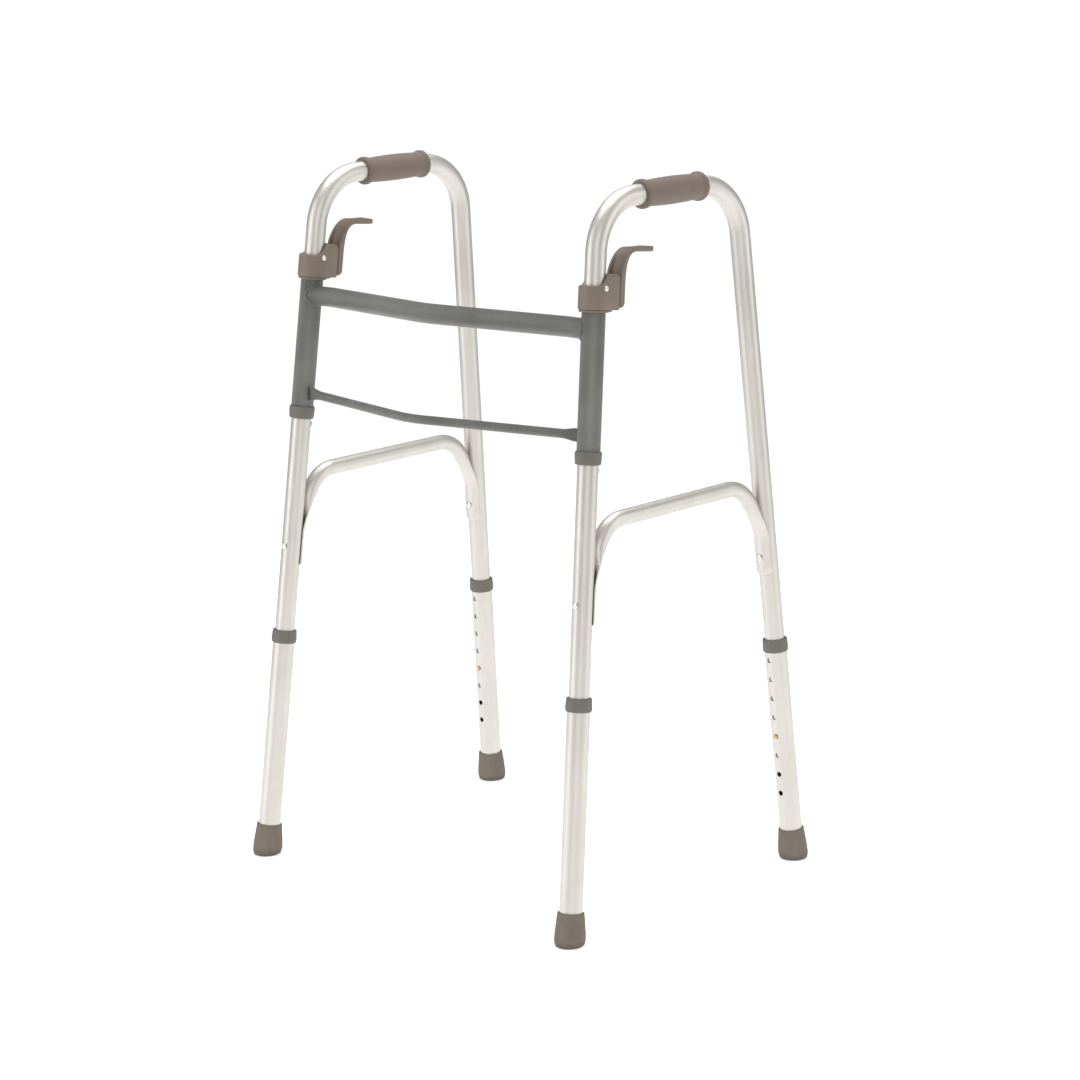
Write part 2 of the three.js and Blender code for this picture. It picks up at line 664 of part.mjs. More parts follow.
// A small compression spring from the leg to the floor of the lever's scoop, above the pivot.
function leverSpring() {
  const { height, radius, wire, turns } = LEVER_SPRING;
  const start = TUBE_FACE + SLOT_SETBACK + wire + GAP;
  const end = SCOOP.floor - wire - GAP;
  class Helix extends THREE.Curve {
    getPoint(t, target = new THREE.Vector3()) {
      const angle = 2 * Math.PI * turns * t;
      return target.set(
        radius * Math.cos(angle), start + (end - start) * t, height + radius * Math.sin(angle),
      );
    }
  }
  return new THREE.ExtrudeGeometry(new THREE.Shape().absarc(0, 0, wire, 0, 2 * Math.PI), {
    extrudePath: new Helix(), steps: turns * 7, curveSegments: 2,
  });
}

// ---- Assembly ----

function addLeg(name, side, leg, collarTop) {
  const top = collarTop - COLLAR_LIP - GAP;
  const button = new THREE.Matrix4().makeTranslation(0, 0, buttonHeight(top));
  place(`${name}_leg_extension`, legExtension(top), ALUMINIUM, side, leg);
  place(`${name}_leg_collar`, collar(COLLAR_HEIGHT), GREY_PLASTIC, side, leg,
    new THREE.Matrix4().makeTranslation(0, 0, collarTop - COLLAR_HEIGHT));
  place(`${name}_foot_tip`, footTip(side, leg), RUBBER, side, leg);
  place(`${name}_foot_washer`,
    rod(WASHER_RADIUS, TIP_FLOOR + GAP, TIP_FLOOR + GAP + WASHER_THICKNESS),
    BRIGHT_STEEL, side, leg);
  place(`${name}_snap_button`, snapButton(), BRASSY_STEEL, side, leg, button);
  place(`${name}_button_spring`, clipSpring(), BRIGHT_STEEL, side, leg, button);
}

function addSideFrame(hand, sign) {
  const side = sidePlane(sign);
  const rivetAt = (height, turn) => new THREE.Matrix4()
    .makeTranslation(0, 0, height)
    .multiply(new THREE.Matrix4().makeRotationZ(turn))
    .multiply(new THREE.Matrix4().makeRotationX(-Math.PI / 2));
  const datum = new THREE.Matrix4().makeTranslation(0, 0, HOUSING_HEIGHT);

  place(`${hand}_side_tube`, sideTube(), ALUMINIUM, side);
  place(`${hand}_handgrip`, handgrip(), TAUPE_PLASTIC, side, gripPlace);
  place(`${hand}_side_brace`, sideBrace(), ALUMINIUM, side);
  place(`${hand}_brace_front_rivet`, rivet(TUBE_FACE, TAB_FACE), BRIGHT_STEEL,
    side, frontLeg, rivetAt(FRONT_RIVET_HEIGHT, 0));
  place(`${hand}_brace_rear_rivet`, rivet(TUBE_FACE, TAB_FACE), BRIGHT_STEEL,
    side, rearLeg, rivetAt(REAR_RIVET_HEIGHT, 0));
  place(`${hand}_post_stop_rivet`, stopRivet(), BRIGHT_STEEL,
    side, frontLeg, rivetAt(STOP_RIVET_HEIGHT, 0));

  place(`${hand}_release_housing`, releaseHousing(), TAUPE_PLASTIC, side, frontLeg, datum);
  const housingFace = HOUSING_RADIUS + GAP;
  place(`${hand}_housing_rivet`,
    rivet(housingFace, housingFace, HOUSING_RIVET.headRadius, HOUSING_RIVET.headHeight),
    BRIGHT_STEEL, side, frontLeg, rivetAt(HOUSING_HEIGHT, -sign * Math.PI / 2));
  place(`${hand}_release_lever`, releaseLever(), TAUPE_PLASTIC, side, frontLeg, datum);
  place(`${hand}_lever_spring`, leverSpring(), BRIGHT_STEEL, side, frontLeg, datum);

  addLeg(`${hand}_front`, side, frontLeg, FRONT_COLLAR_TOP);
  addLeg(`${hand}_rear`, side, rearLeg, REAR_COLLAR_TOP);
}

// A blind rivet whose tall head keeps the post from sliding down the leg.
function stopRivet() {
  const inside = TUBE_RADIUS - TUBE_WALL - 3;
  return turned([
    [0, inside],
    [RIVET_RADIUS, inside],
    [RIVET_RADIUS, TUBE_FACE],
    [STOP_HEAD.radius, TUBE_FACE],
    [STOP_HEAD.radius, TUBE_FACE + STOP_HEAD.edge],
    [STOP_HEAD.radius * 0.6, TUBE_FACE + STOP_HEAD.height],
    [0, TUBE_FACE + STOP_HEAD.height],
  ], BUTTON_SEGMENTS);
}

function addCrossbarFrame() {
  for (const [hand, sign] of [['left', -1], ['right', 1]]) {
    const side = sidePlane(sign);
    const collarBase = new THREE.Matrix4()
      .makeTranslation(0, 0, POST_BOTTOM - COLLAR_LIP - GAP + POST_COLLAR_HEIGHT)
      .multiply(new THREE.Matrix4().makeRotationX(Math.PI));
    place(`${hand}_post`, post(), GREY_PAINT, side, frontLeg);
    place(`${hand}_post_top_bushing`, topBushing(), TAUPE_PLASTIC, side, frontLeg);
    place(`${hand}_post_bottom_collar`, collar(POST_COLLAR_HEIGHT), GREY_PLASTIC,
      side, frontLeg, collarBase);
  }
  place('upper_crossbar', upperCrossbar(), GREY_PAINT);
  place('lower_crossbar', lowerCrossbar(), GREY_PAINT);
}

addCrossbarFrame();
addSideFrame('left', -1);
addSideFrame('right', 1);

export default frame;
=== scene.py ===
"""Folding walking frame: fine meshes, materials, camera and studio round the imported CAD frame.

Shapes are worked out in millimetres, in the frame of the leg or side they belong to, and placed in metres.
A leg's frame has z running up the leg from the floor and y pointing into its side frame.
"""

import json
import math

import bmesh
import bpy
from mathutils import Matrix, Vector


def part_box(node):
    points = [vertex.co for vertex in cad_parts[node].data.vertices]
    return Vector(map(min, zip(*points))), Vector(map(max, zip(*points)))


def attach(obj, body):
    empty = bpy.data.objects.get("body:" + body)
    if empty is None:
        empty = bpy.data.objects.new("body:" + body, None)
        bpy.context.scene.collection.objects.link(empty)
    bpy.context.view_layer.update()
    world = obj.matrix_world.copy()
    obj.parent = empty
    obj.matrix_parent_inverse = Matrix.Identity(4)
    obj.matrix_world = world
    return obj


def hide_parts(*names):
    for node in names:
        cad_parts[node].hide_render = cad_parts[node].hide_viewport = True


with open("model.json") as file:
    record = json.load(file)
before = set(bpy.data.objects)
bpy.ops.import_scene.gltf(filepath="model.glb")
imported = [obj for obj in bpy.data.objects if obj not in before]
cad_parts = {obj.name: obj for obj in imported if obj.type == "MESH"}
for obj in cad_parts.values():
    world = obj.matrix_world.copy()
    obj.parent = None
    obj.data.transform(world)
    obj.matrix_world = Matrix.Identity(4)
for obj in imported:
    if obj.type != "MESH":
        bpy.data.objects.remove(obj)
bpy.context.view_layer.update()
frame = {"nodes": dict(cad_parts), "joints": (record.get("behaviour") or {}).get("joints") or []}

MM = 0.001
HANDS = ("left", "right")
LEGS = ("front", "rear")
JOINTS = {joint["name"]: joint for joint in frame["joints"]}

# ---- Dimensions, as in the CAD except for the finer pressed ends of the braces ----

SEGMENTS = 48
SHARP_ANGLE = math.radians(38)
GRIP_HEIGHT = 882.5
GRIP_FALL = 0.0146
GRIP_START = -17.5
GRIP_LENGTH = 108
TOP_BEND_RADIUS = 70
TUBE_RADIUS = 12.7
TUBE_WALL = 1.3
TUBE_END = 128
TUBE_FACE = TUBE_RADIUS + 0.3

EXTENSION_RADIUS = 14.3
EXTENSION_WALL = 1.1
EXTENSION_BOTTOM = 8.4
HOLE_RADIUS = 3.3
HOLE_PITCH = 25.4
HOLE_COUNT = 8
FIRST_HOLE_DROP = 24
BUTTON_HOLE = 4
COLLAR_TOP = {"front": 301, "rear": 296}
COLLAR_HEIGHT = 17
COLLAR_LIP = 2.6

BRACE_HEIGHT = 500
BRACE_RADIUS = 10
BRACE_BEND_RADIUS = 46
TAB_THICKNESS = 2.4
TAB_HALF_ANGLE = math.radians(62)
BRACE_OFFSET = TUBE_FACE + BRACE_RADIUS - 1
PRESS_START = 455
PRESS_END = 427
PRESS_IN_BEND = 26
TAB_CORNER = 3
TAB_EDGE = 0.08  # the share of a tab's half width that is rounded off
TAB_BOTTOM = {"front": 387, "rear": 383}
BRACE_RIVET_HEIGHT = {"front": 412, "rear": 405}
BRACE_RIVET = (4.4, 1.9)  # a head's radius and height, as for the other rivets

POST_RADIUS = 14.3
POST_BOTTOM = 582
POST_TOP = 759
POST_COLLAR_HEIGHT = 16
STOP_RIVET_HEIGHT = 571
STOP_RIVET = (5.6, 4.5)
UPPER_BAR = {"height": 732, "radius": 12.5, "bow": 34.7}
LOWER_BAR = {"height": 607, "radius": 5.6, "bow": 54.2}
BAR_RISE = 2.5
BAR_BEND_RADIUS = 110
COPE_RUN = 40  # how far from the post's axis the upper bar's coped end begins
RUN_UP = 60  # how far before a post its bars' lines are started
UPPER_WELD = {"halves": (12.9, 12.9), "count": 90, "gap": 0.3, "size": 1.7}
LOWER_WELD = {"halves": (8.4, 2.2), "count": 56, "gap": 0.2, "size": 1.2}

HOUSING_HEIGHT = 788
HOUSING_RADIUS = 19.2
HOUSING_BOTTOM = -25.7
HOUSING_COLLAR_TOP = 3
HOUSING_RIVET = (3.6, 1.5)
BLOCK_TOP = 17
BLOCK_REAR = 31
BLOCK_HALF_WIDTH = 13.6
LEVER_WIDTH = 25
LEVER_TIP = Vector((86.5, 47.6))
LEVER_TIP_RADIUS = 3.2


# ---- Outlines and lofts ----

def filleted(corners, closed=True, steps=4):
    """The outline through (x, y, radius) corners, each rounded to its own radius."""
    outline = []
    for i, (x, y, radius) in enumerate(corners):
        here = Vector((x, y))
        at_end = not closed and i in (0, len(corners) - 1)
        if at_end or not radius:
            outline.append(here)
            continue
        before = (Vector(corners[i - 1][:2]) - here).normalized()
        after = (Vector(corners[(i + 1) % len(corners)][:2]) - here).normalized()
        half = before.angle(after) / 2
        centre = here + (before + after).normalized() * radius / math.sin(half)
        spoke = here + before * radius / math.tan(half) - centre
        turn = math.copysign(math.pi - 2 * half, before.cross(after))
        for k in range(steps + 1):
            outline.append(centre + Matrix.Rotation(-turn * k / steps, 2) @ spoke)
    return outline


def arc(cx, cy, radius, start, end, steps):
    """Points on a circle from one angle to another, in degrees."""
    angles = [math.radians(start + (end - start) * k / steps) for k in range(steps + 1)]
    return [Vector((cx + radius * math.cos(a), cy + radius * math.sin(a))) for a in angles]


def bezier(a, b, c, d, steps):
    """Points on a cubic curve, its start left out."""
    a, b, c, d = map(Vector, (a, b, c, d))
    shares = [(k + 1) / steps for k in range(steps)]
    return [a * (1 - t) ** 3 + b * 3 * t * (1 - t) ** 2 + c * 3 * t * t * (1 - t) + d * t ** 3
            for t in shares]


def smooth(t):
    t = min(max(t, 0), 1)
    return t * t * (3 - 2 * t)


class Shape:
    """Points and faces, with each point's place on the same piece before it was bent."""

    def __init__(self):
        self.points = []
        self.straight = []
        self.faces = []

    def add(self, points, straight=None):
        start = len(self.points)
        self.points.extend(Vector(p) for p in points)
        self.straight.extend(Vector(p) for p in (straight or points))
        return list(range(start, len(self.points)))

    def band(self, one, two):
        """Faces between two rings of point numbers; a ring of one point is a pole."""
        count = max(len(one), len(two))
        for i in range(count):
            j = (i + 1) % count
            corners = [one[i % len(one)], one[j % len(one)], two[j % len(two)], two[i % len(two)]]
            self.faces.append(list(dict.fromkeys(corners)))

    def loft(self, rings, straight=None, closed=False, capped=False):
        """Skins rings of points. closed joins the last to the first, capped fills both ends."""
        numbers = [self.add(ring, straight[i] if straight else None) for i, ring in enumerate(rings)]
        for one, two in zip(numbers, numbers[1:]):
            self.band(one, two)
        if closed:
            self.band(numbers[-1], numbers[0])
        if capped:
            self.faces.append(numbers[0])
            self.faces.append(numbers[-1])
        return self

    def object(self, name, place):
        mesh = bpy.data.meshes.new(name)
        mesh.from_pydata([place @ p for p in self.points], [], self.faces)
        straight = mesh.attributes.new("straight", "FLOAT_VECTOR", "POINT")
        straight.data.foreach_set("vector", [v * MM for p in self.straight for v in p])
        made = bpy.data.objects.new(name, mesh)
        bpy.context.scene.collection.objects.link(made)
        tidy(mesh)
        return made


def tidy(mesh):
    """Makes the faces look outwards and shades them smooth between sharp edges."""
    work = bmesh.new()
    work.from_mesh(mesh)
    bmesh.ops.recalc_face_normals(work, faces=work.faces)
    work.to_mesh(mesh)
    work.free()
    mesh.shade_smooth()
    mesh.set_sharp_from_angle(angle=SHARP_ANGLE)


def circle(radius, z, segments=SEGMENTS):
    if radius == 0:
        return [Vector((0, 0, z))]
    turns = [2 * math.pi * k / segments for k in range(segments)]
    return [Vector((radius * math.cos(a), radius * math.sin(a), z)) for a in turns]


def turned(profile, segments=SEGMENTS, closed=False):
    """A lathe-turned shape from (radius, z) points."""
    return Shape().loft([circle(r, z, segments) for r, z in profile], closed=closed)


def slab(outline, width, bevel):
    """A flat outline in the (y, z) plane, given a width in x and a small bevel on both faces."""
    middle = sum(outline, Vector((0, 0))) / len(outline)
    inset = [p + (middle - p).normalized() * bevel for p in outline]
    half = width / 2
    layers = [(inset, -half), (outline, bevel - half), (outline, half - bevel), (inset, half)]
    rings = [[Vector((x, *p)) for p in layer] for layer, x in layers]
    return Shape().loft(rings, capped=True)


def add_piece(name, shape, place, body, material, stands_for=None):
    """Places a shape, paints it, and has it ride on its CAD body."""
    piece = shape.object(name, place)
    piece.data.materials.append(material)
    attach(piece, body)
    if stands_for:
        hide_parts(stands_for)
    return piece


# ---- Paths ----

def path(corners, bend_radius, arc_step=4, run_step=40):
    """Stations (point, tangent, distance) along straight runs joined by arcs."""
    stations = []

    def run(start, end):
        count = max(1, round((end - start).length / run_step))
        stations.extend((start.lerp(end, k / count), (end - start).normalized()) for k in range(count))

    here = corners[0]
    for before, corner, after in zip(corners, corners[1:], corners[2:]):
        along = (corner - before).normalized()
        away = (after - corner).normalized()
        turn = along.angle(away)
        reach = bend_radius * math.tan(turn / 2)
        start = corner - along * reach
        inward = (away - along * away.dot(along)).normalized()
        run(here, start)
        count = max(3, round(math.degrees(turn) / arc_step))
        for k in range(count):
            angle = turn * k / count
            sideways = inward * bend_radius * (1 - math.cos(angle))
            point = start + along * bend_radius * math.sin(angle) + sideways
            stations.append((point, along * math.cos(angle) + inward * math.sin(angle)))
        here = corner + away * reach
    run(here, corners[-1])
    stations.append((corners[-1], (corners[-1] - corners[-2]).normalized()))
    distance, last, measured = 0.0, stations[0][0], []
    for point, tangent in stations:
        distance += (point - last).length
        measured.append((point, tangent, distance))
        last = point
    return measured


def rings_along(stations, section, reference):
    """Sets section(distance), a list of (a, b) offsets, along a path; a runs towards reference."""
    rings, straight = [], []
    for point, tangent, distance in stations:
        first = (reference - tangent * reference.dot(tangent)).normalized()
        second = tangent.cross(first)
        offsets = section(distance)
        rings.append([point + first * a + second * b for a, b in offsets])
        straight.append([Vector((a, b, distance)) for a, b in offsets])
    return rings, straight


def sweep(shape, stations, section, reference, **options):
    return shape.loft(*rings_along(stations, section, reference), **options)


def round_section(radius, segments=SEGMENTS):
    ring = [(p.x, p.y) for p in circle(radius, 0, segments)]
    return lambda distance: ring


def hollow_sweep(stations, radius, wall, reference):
    """A tube with its bore, open at both ends."""
    shape = Shape()
    sweep(shape, stations, round_section(radius), reference)
    outside = len(shape.points)
    sweep(shape, stations, round_section(radius - wall), reference)
    for start in (0, outside - SEGMENTS):
        shape.band(range(start, start + SEGMENTS), range(start + outside, start + outside + SEGMENTS))
    return shape


# ---- The frame's layout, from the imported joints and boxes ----

class Side:
    """One side frame: its plane, its two legs' frames, and where their lines lie in the plane."""

    def __init__(self, hand):
        self.hand = hand
        self.across = Vector(JOINTS[f"{hand}_lever_squeeze"]["axis"])
        self.climb = self.across.cross(Vector((0, 1, 0)))
        self.feet, self.leans, self.legs = {}, {}, {}
        for leg in LEGS:
            up = -Vector(JOINTS[f"{hand}_{leg}_leg_height"]["axis"])
            low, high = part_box(f"{hand}_{leg}_leg_collar")
            middle = (low + high) / 2
            foot = middle - up * (middle.z / up.z)
            across = self.across if leg == "front" else -self.across
            self.feet[leg] = foot
            self.leans[leg] = up.y / up.dot(self.climb)
            self.legs[leg] = placed(across, up.cross(across), up, foot)
        middle = (self.feet["front"] + self.feet["rear"]) / 2
        self.plane = placed(self.across, Vector((0, 1, 0)), self.climb, middle)

    def line(self, leg, height, offset=0.0):
        """Where a leg's axis, or a line beside it inside the frame, is at a height in the plane."""
        lean = self.leans[leg]
        inward = 1 if leg == "front" else -1
        y = self.feet[leg].y / MM + lean * height + inward * offset * math.hypot(1, lean)
        return Vector((0, y, height))

    def on(self, leg, height):
        """A matrix for a piece at a height along a leg."""
        return self.legs[leg] @ Matrix.Translation((0, 0, height))


def placed(x, y, z, origin):
    """The matrix of a frame given by its axes and origin, from millimetres to metres."""
    matrix = Matrix((x, y, z)).transposed().to_4x4() @ Matrix.Scale(MM, 4)
    matrix.translation = origin
    return matrix


def extension_top(leg):
    return COLLAR_TOP[leg] - COLLAR_LIP - 0.3


def hole_heights(leg):
    return [extension_top(leg) - FIRST_HOLE_DROP - k * HOLE_PITCH for k in range(HOLE_COUNT)]


# ---- Side tube, grip and brace ----

def side_tube(side):
    drop = GRIP_FALL * (side.line("rear", GRIP_HEIGHT).y - side.line("front", GRIP_HEIGHT).y)
    ends = {leg: side.plane.inverted() @ side.on(leg, TUBE_END).translation for leg in LEGS}
    corners = [
        ends["front"],
        side.line("front", GRIP_HEIGHT),
        side.line("rear", GRIP_HEIGHT - drop),
        ends["rear"],
    ]
    return hollow_sweep(path(corners, TOP_BEND_RADIUS), TUBE_RADIUS, TUBE_WALL, Vector((1, 0, 0)))


def handgrip():
    """A barrel between two rolled flanges, along z, from its front end."""
    flange, neck, swell = 18, 15.7, 1.3
    belly = [(neck + swell * math.sin(math.pi * k / 12), 10 + (GRIP_LENGTH - 20) * k / 12, 0)
             for k in range(13)]
    rim = [(flange - 1.5, 0, 1.2), (flange, 2.2, 1.6), (flange, 6.2, 1.8), (neck + 0.3, 8.4, 1.2)]
    far_rim = [(r, GRIP_LENGTH - z, f) for r, z, f in reversed(rim)]
    corners = [(TUBE_FACE, 0, 0), *rim, *belly, *far_rim, (TUBE_FACE, GRIP_LENGTH, 0)]
    return turned(filleted(corners), closed=True)


def grip_place(side):
    start = side.line("front", GRIP_HEIGHT)
    height = GRIP_HEIGHT - GRIP_FALL * (GRIP_START - start.y)
    tilt = Matrix.Rotation(-math.pi / 2 - math.atan(GRIP_FALL), 4, "X")
    return side.plane @ Matrix.Translation((0, GRIP_START, height)) @ tilt


def cupped_section(count):
    """A brace end pressed flat round the leg: (across, out from the leg's axis) points."""
    outer, inner = TUBE_FACE + TAB_THICKNESS, TUBE_FACE
    points = []
    for k in range(count):
        t = 4 * k / count
        outside = t < 2
        share = 1 - t if outside else t - 3
        angle = TAB_HALF_ANGLE * share
        rounded = max(0, abs(share) - 1 + TAB_EDGE) / TAB_EDGE
        pinch = TAB_THICKNESS / 2 * (1 - math.sqrt(max(0, 1 - rounded ** 2)))
        out = outer - pinch if outside else inner + pinch
        points.append((out * math.sin(angle), out * math.cos(angle)))
    return points


def pressed_section(share):
    """The brace's section, as (across, out) points: round at share 0, cupped on the leg at 1."""
    points = []
    for k, flat in enumerate(cupped_section(SEGMENTS)):
        angle = 2 * math.pi * (k / SEGMENTS + 0.25)
        tube = Vector((BRACE_RADIUS * math.sin(angle), BRACE_OFFSET - BRACE_RADIUS * math.cos(angle)))
        points.append(tube.lerp(Vector(flat), share))
    return points


def tab_rings(leg, start):
    """Rings from the arch's end down to the end of its cupped tab, in the leg's frame."""
    bottom = TAB_BOTTOM[leg]
    heights = [start + (PRESS_END - start) * k / 10 for k in range(1, 11)]
    heights += [PRESS_END + (bottom + TAB_CORNER - PRESS_END) * k / 5 for k in range(1, 6)]
    heights += [bottom + TAB_CORNER * (1 - math.sin(math.pi * k / 8)) for k in range(1, 5)]
    rings = []
    for height in heights:
        pressed = PRESS_IN_BEND + start - height
        section = pressed_section(smooth(pressed / (PRESS_IN_BEND + start - PRESS_END)))
        shrink = 1 - 0.25 * max(0, (bottom + TAB_CORNER - height) / TAB_CORNER) ** 2
        rings.append([Vector((across * shrink, out, height)) for across, out in section])
    return rings


def side_brace(side):
    """A tube arch whose ends flatten, from inside the bends, into cupped tabs."""
    corners = [
        side.line("front", PRESS_START, BRACE_OFFSET),
        side.line("front", BRACE_HEIGHT, BRACE_OFFSET),
        side.line("rear", BRACE_HEIGHT, BRACE_OFFSET),
        side.line("rear", PRESS_START, BRACE_OFFSET),
    ]
    starts, tabs = {}, {}
    for leg, end in (("front", corners[0]), ("rear", corners[-1])):
        to_plane = side.plane.inverted() @ side.legs[leg]
        starts[leg] = (to_plane.inverted() @ end).z
        tabs[leg] = [[to_plane @ p for p in ring] for ring in tab_rings(leg, starts[leg])]
    stations = path(corners, BRACE_BEND_RADIUS)
    total = stations[-1][2]
    reference = Vector((1, 0, 0))
    rings = []
    for point, tangent, distance in stations:
        leg = "front" if distance < total / 2 else "rear"
        pressed = PRESS_IN_BEND - min(distance, total - distance)
        section = pressed_section(smooth(pressed / (PRESS_IN_BEND + starts[leg] - PRESS_END)))
        away = tangent.cross(reference)
        rings.append([point + reference * across + away * (out - BRACE_OFFSET)
                      for across, out in section])
    turned_over = [[ring[(SEGMENTS // 2 - k) % SEGMENTS] for k in range(SEGMENTS)]
                   for ring in tabs["rear"]]
    return Shape().loft(tabs["front"][::-1] + rings + turned_over, capped=True)


# ---- Leg extensions, collars, feet, buttons ----

def holed_tube(radius, wall, bottom, top, heights):
    """A tube whose wall is drilled through on its +y side at each of the heights."""
    shape = Shape()
    heights = sorted(heights)
    per_side, around, rim_fillet = 6, 34, 0.4
    half = HOLE_RADIUS * 1.6
    steps = [half * (2 * k / per_side - 1) for k in range(per_side + 1)]
    columns = steps + [half + (2 * math.pi * radius - 2 * half) * k / around for k in range(1, around)]
    rows = [bottom + rim_fillet, *(h + s for h in heights for s in steps), top - rim_fillet]
    firsts = [1 + (per_side + 1) * n for n in range(len(heights))]  # each hole's first row
    square = {(i, first + j) for first in firsts for i in range(1, per_side) for j in range(1, per_side)}

    def on_wall(across, z, out):
        return Vector((across, math.sqrt(out * out - across * across), z))

    def skin(out):
        grid = {}
        for i, s in enumerate(columns):
            angle = math.pi / 2 - s / radius
            for j, z in enumerate(rows):
                if (i, j) not in square:
                    point = Vector((out * math.cos(angle), out * math.sin(angle), z))
                    grid[i, j] = shape.add([point])[0]
        for j in range(len(rows) - 1):
            in_hole = any(first <= j < first + per_side for first in firsts)
            for i in range(len(columns)):
                if in_hole and i < per_side:
                    continue
                k = (i + 1) % len(columns)
                shape.faces.append([grid[i, j], grid[k, j], grid[k, j + 1], grid[i, j + 1]])
        return grid

    outside, inside = skin(radius), skin(radius - wall)
    for first, height in zip(firsts, heights):
        edge = ([(i, first) for i in range(per_side)]
                + [(per_side, first + j) for j in range(per_side)]
                + [(i, first + per_side) for i in range(per_side, 0, -1)]
                + [(0, first + j) for j in range(per_side, 0, -1)])
        bearings = [math.atan2(steps[j - first], steps[i]) for i, j in edge]

        def hole_ring(size, out):
            return shape.add([on_wall(size * math.cos(b), height + size * math.sin(b), out)
                              for b in bearings])

        rings = [
            [outside[key] for key in edge],
            hole_ring(HOLE_RADIUS + 0.4, radius),
            hole_ring(HOLE_RADIUS + 0.1, radius - 0.1),
            hole_ring(HOLE_RADIUS, radius - 0.4),
            hole_ring(HOLE_RADIUS, radius - wall),
            [inside[key] for key in edge],
        ]
        for one, two in zip(rings, rings[1:]):
            shape.band(one, two)
    for j, z in ((0, bottom), (len(rows) - 1, top)):
        rim_radius = radius - wall / 2
        rim = shape.add([Vector((rim_radius * math.cos(math.pi / 2 - s / radius),
                                 rim_radius * math.sin(math.pi / 2 - s / radius), z)) for s in columns])
        shape.band([outside[i, j] for i in range(len(columns))], rim)
        shape.band(rim, [inside[i, j] for i in range(len(columns))])
    return shape


def collar(height):
    """A moulded cap over a tube's end, a little wider at its skirt."""
    bore, skirt = TUBE_RADIUS + 0.4, EXTENSION_RADIUS + 0.2
    corners = [
        (skirt, 0, 0.3),
        (16.0, 0, 1.4),
        (16.4, 4.5, 4),
        (15.7, height, 2.0),
        (bore, height, 0.5),
        (bore, height - COLLAR_LIP, 0),
        (skirt, height - COLLAR_LIP, 0),
    ]
    return turned(filleted(corners, steps=6), closed=True)


def foot_tip(up):
    """A rubber tip whose sole lies level on the floor; up is the world's up in the leg's frame."""
    corners = [
        (0, 0, 0),
        (17.6, 0, 3.2),
        (19.3, 7, 10),
        (18.9, 16, 20),
        (16.9, 36, 8),
        (16.4, 40.5, 1.1),
        (EXTENSION_RADIUS + 0.1, 40.5, 0.6),
        (EXTENSION_RADIUS + 0.1, 6, 0),
        (0, 6, 0),
    ]
    profile = filleted(corners, closed=False, steps=6)
    shape = turned([(0 if abs(r) < 1e-6 else r, z) for r, z in profile])
    for point in shape.points:
        share = 1 - smooth((point.z - 5) / 22)
        point.z -= share * (point.x * up.x + point.y * up.y) / up.z
    return shape


def rivet(head_radius, head_height, start):
    """A domed rivet head with the dimple its mandrel leaves, seen along z."""
    top, shank, depth = start + head_height, 2.6, 2
    profile = [(0, start - depth), (shank, start - depth), (shank, start), (head_radius - 0.3, start)]
    profile += [(head_radius * math.cos(a), start + 0.3 + (head_height - 0.3) * math.sin(a))
                for a in (math.radians(10 * k) for k in range(6))]
    dimple = head_radius * 0.42
    profile += [(dimple, top - 0.12), (dimple * 0.86, top - 0.2), (dimple * 0.72, top - 0.65),
                (dimple * 0.5, top - 0.5), (0, top - 0.35)]
    return turned(profile, 32)


def snap_button():
    face, flange, neck, dome = EXTENSION_RADIUS + 2.4, 4.4, 2.9, 1.6
    profile = [(0, 9), (flange, 9), (flange, 10), (neck, 10), (neck, face - dome)]
    profile += [(neck * math.cos(a), face - dome + dome * math.sin(a))
                for a in (math.radians(15 * k) for k in range(1, 6))]
    return turned(profile + [(0, face)], 32)


OUTWARD = Matrix.Rotation(-math.pi / 2, 4, "X")  # turns a piece's z to the leg's +y


# ---- Posts, crossbars and welds ----

def post():
    lip = 0.4
    inner = POST_RADIUS - 1
    corners = [
        (POST_RADIUS, POST_BOTTOM, lip), (POST_RADIUS, POST_TOP, lip),
        (inner, POST_TOP, lip), (inner, POST_BOTTOM, lip),
    ]
    return turned(filleted(corners), closed=True)


def post_point(side, height):
    """A point on the post's axis, in millimetres in the world's frame."""
    return side.plane @ side.line("front", height) / MM


def bar_path(sides, bar, inset):
    ends = []
    for side in sides:
        end = post_point(side, bar["height"])
        ends.append(Vector((end.x - math.copysign(inset, end.x), end.y, end.z)))
    middle = Vector((0, ends[0].y - bar["bow"], ends[0].z + BAR_RISE))
    return [ends[0], middle, ends[1]]


def onto_post(side, point, along, radius):
    """Where a line through point meets the post's cylinder, coming from the frame's middle."""
    axis_point = post_point(side, 0)
    axis = (post_point(side, 1) - axis_point).normalized()
    start = point - axis_point
    start -= axis * start.dot(axis)
    flat = along - axis * along.dot(axis)
    a, b, c = flat.dot(flat), start.dot(flat), start.dot(start) - radius * radius
    return point + along * (-b - math.sqrt(b * b - a * c)) / a


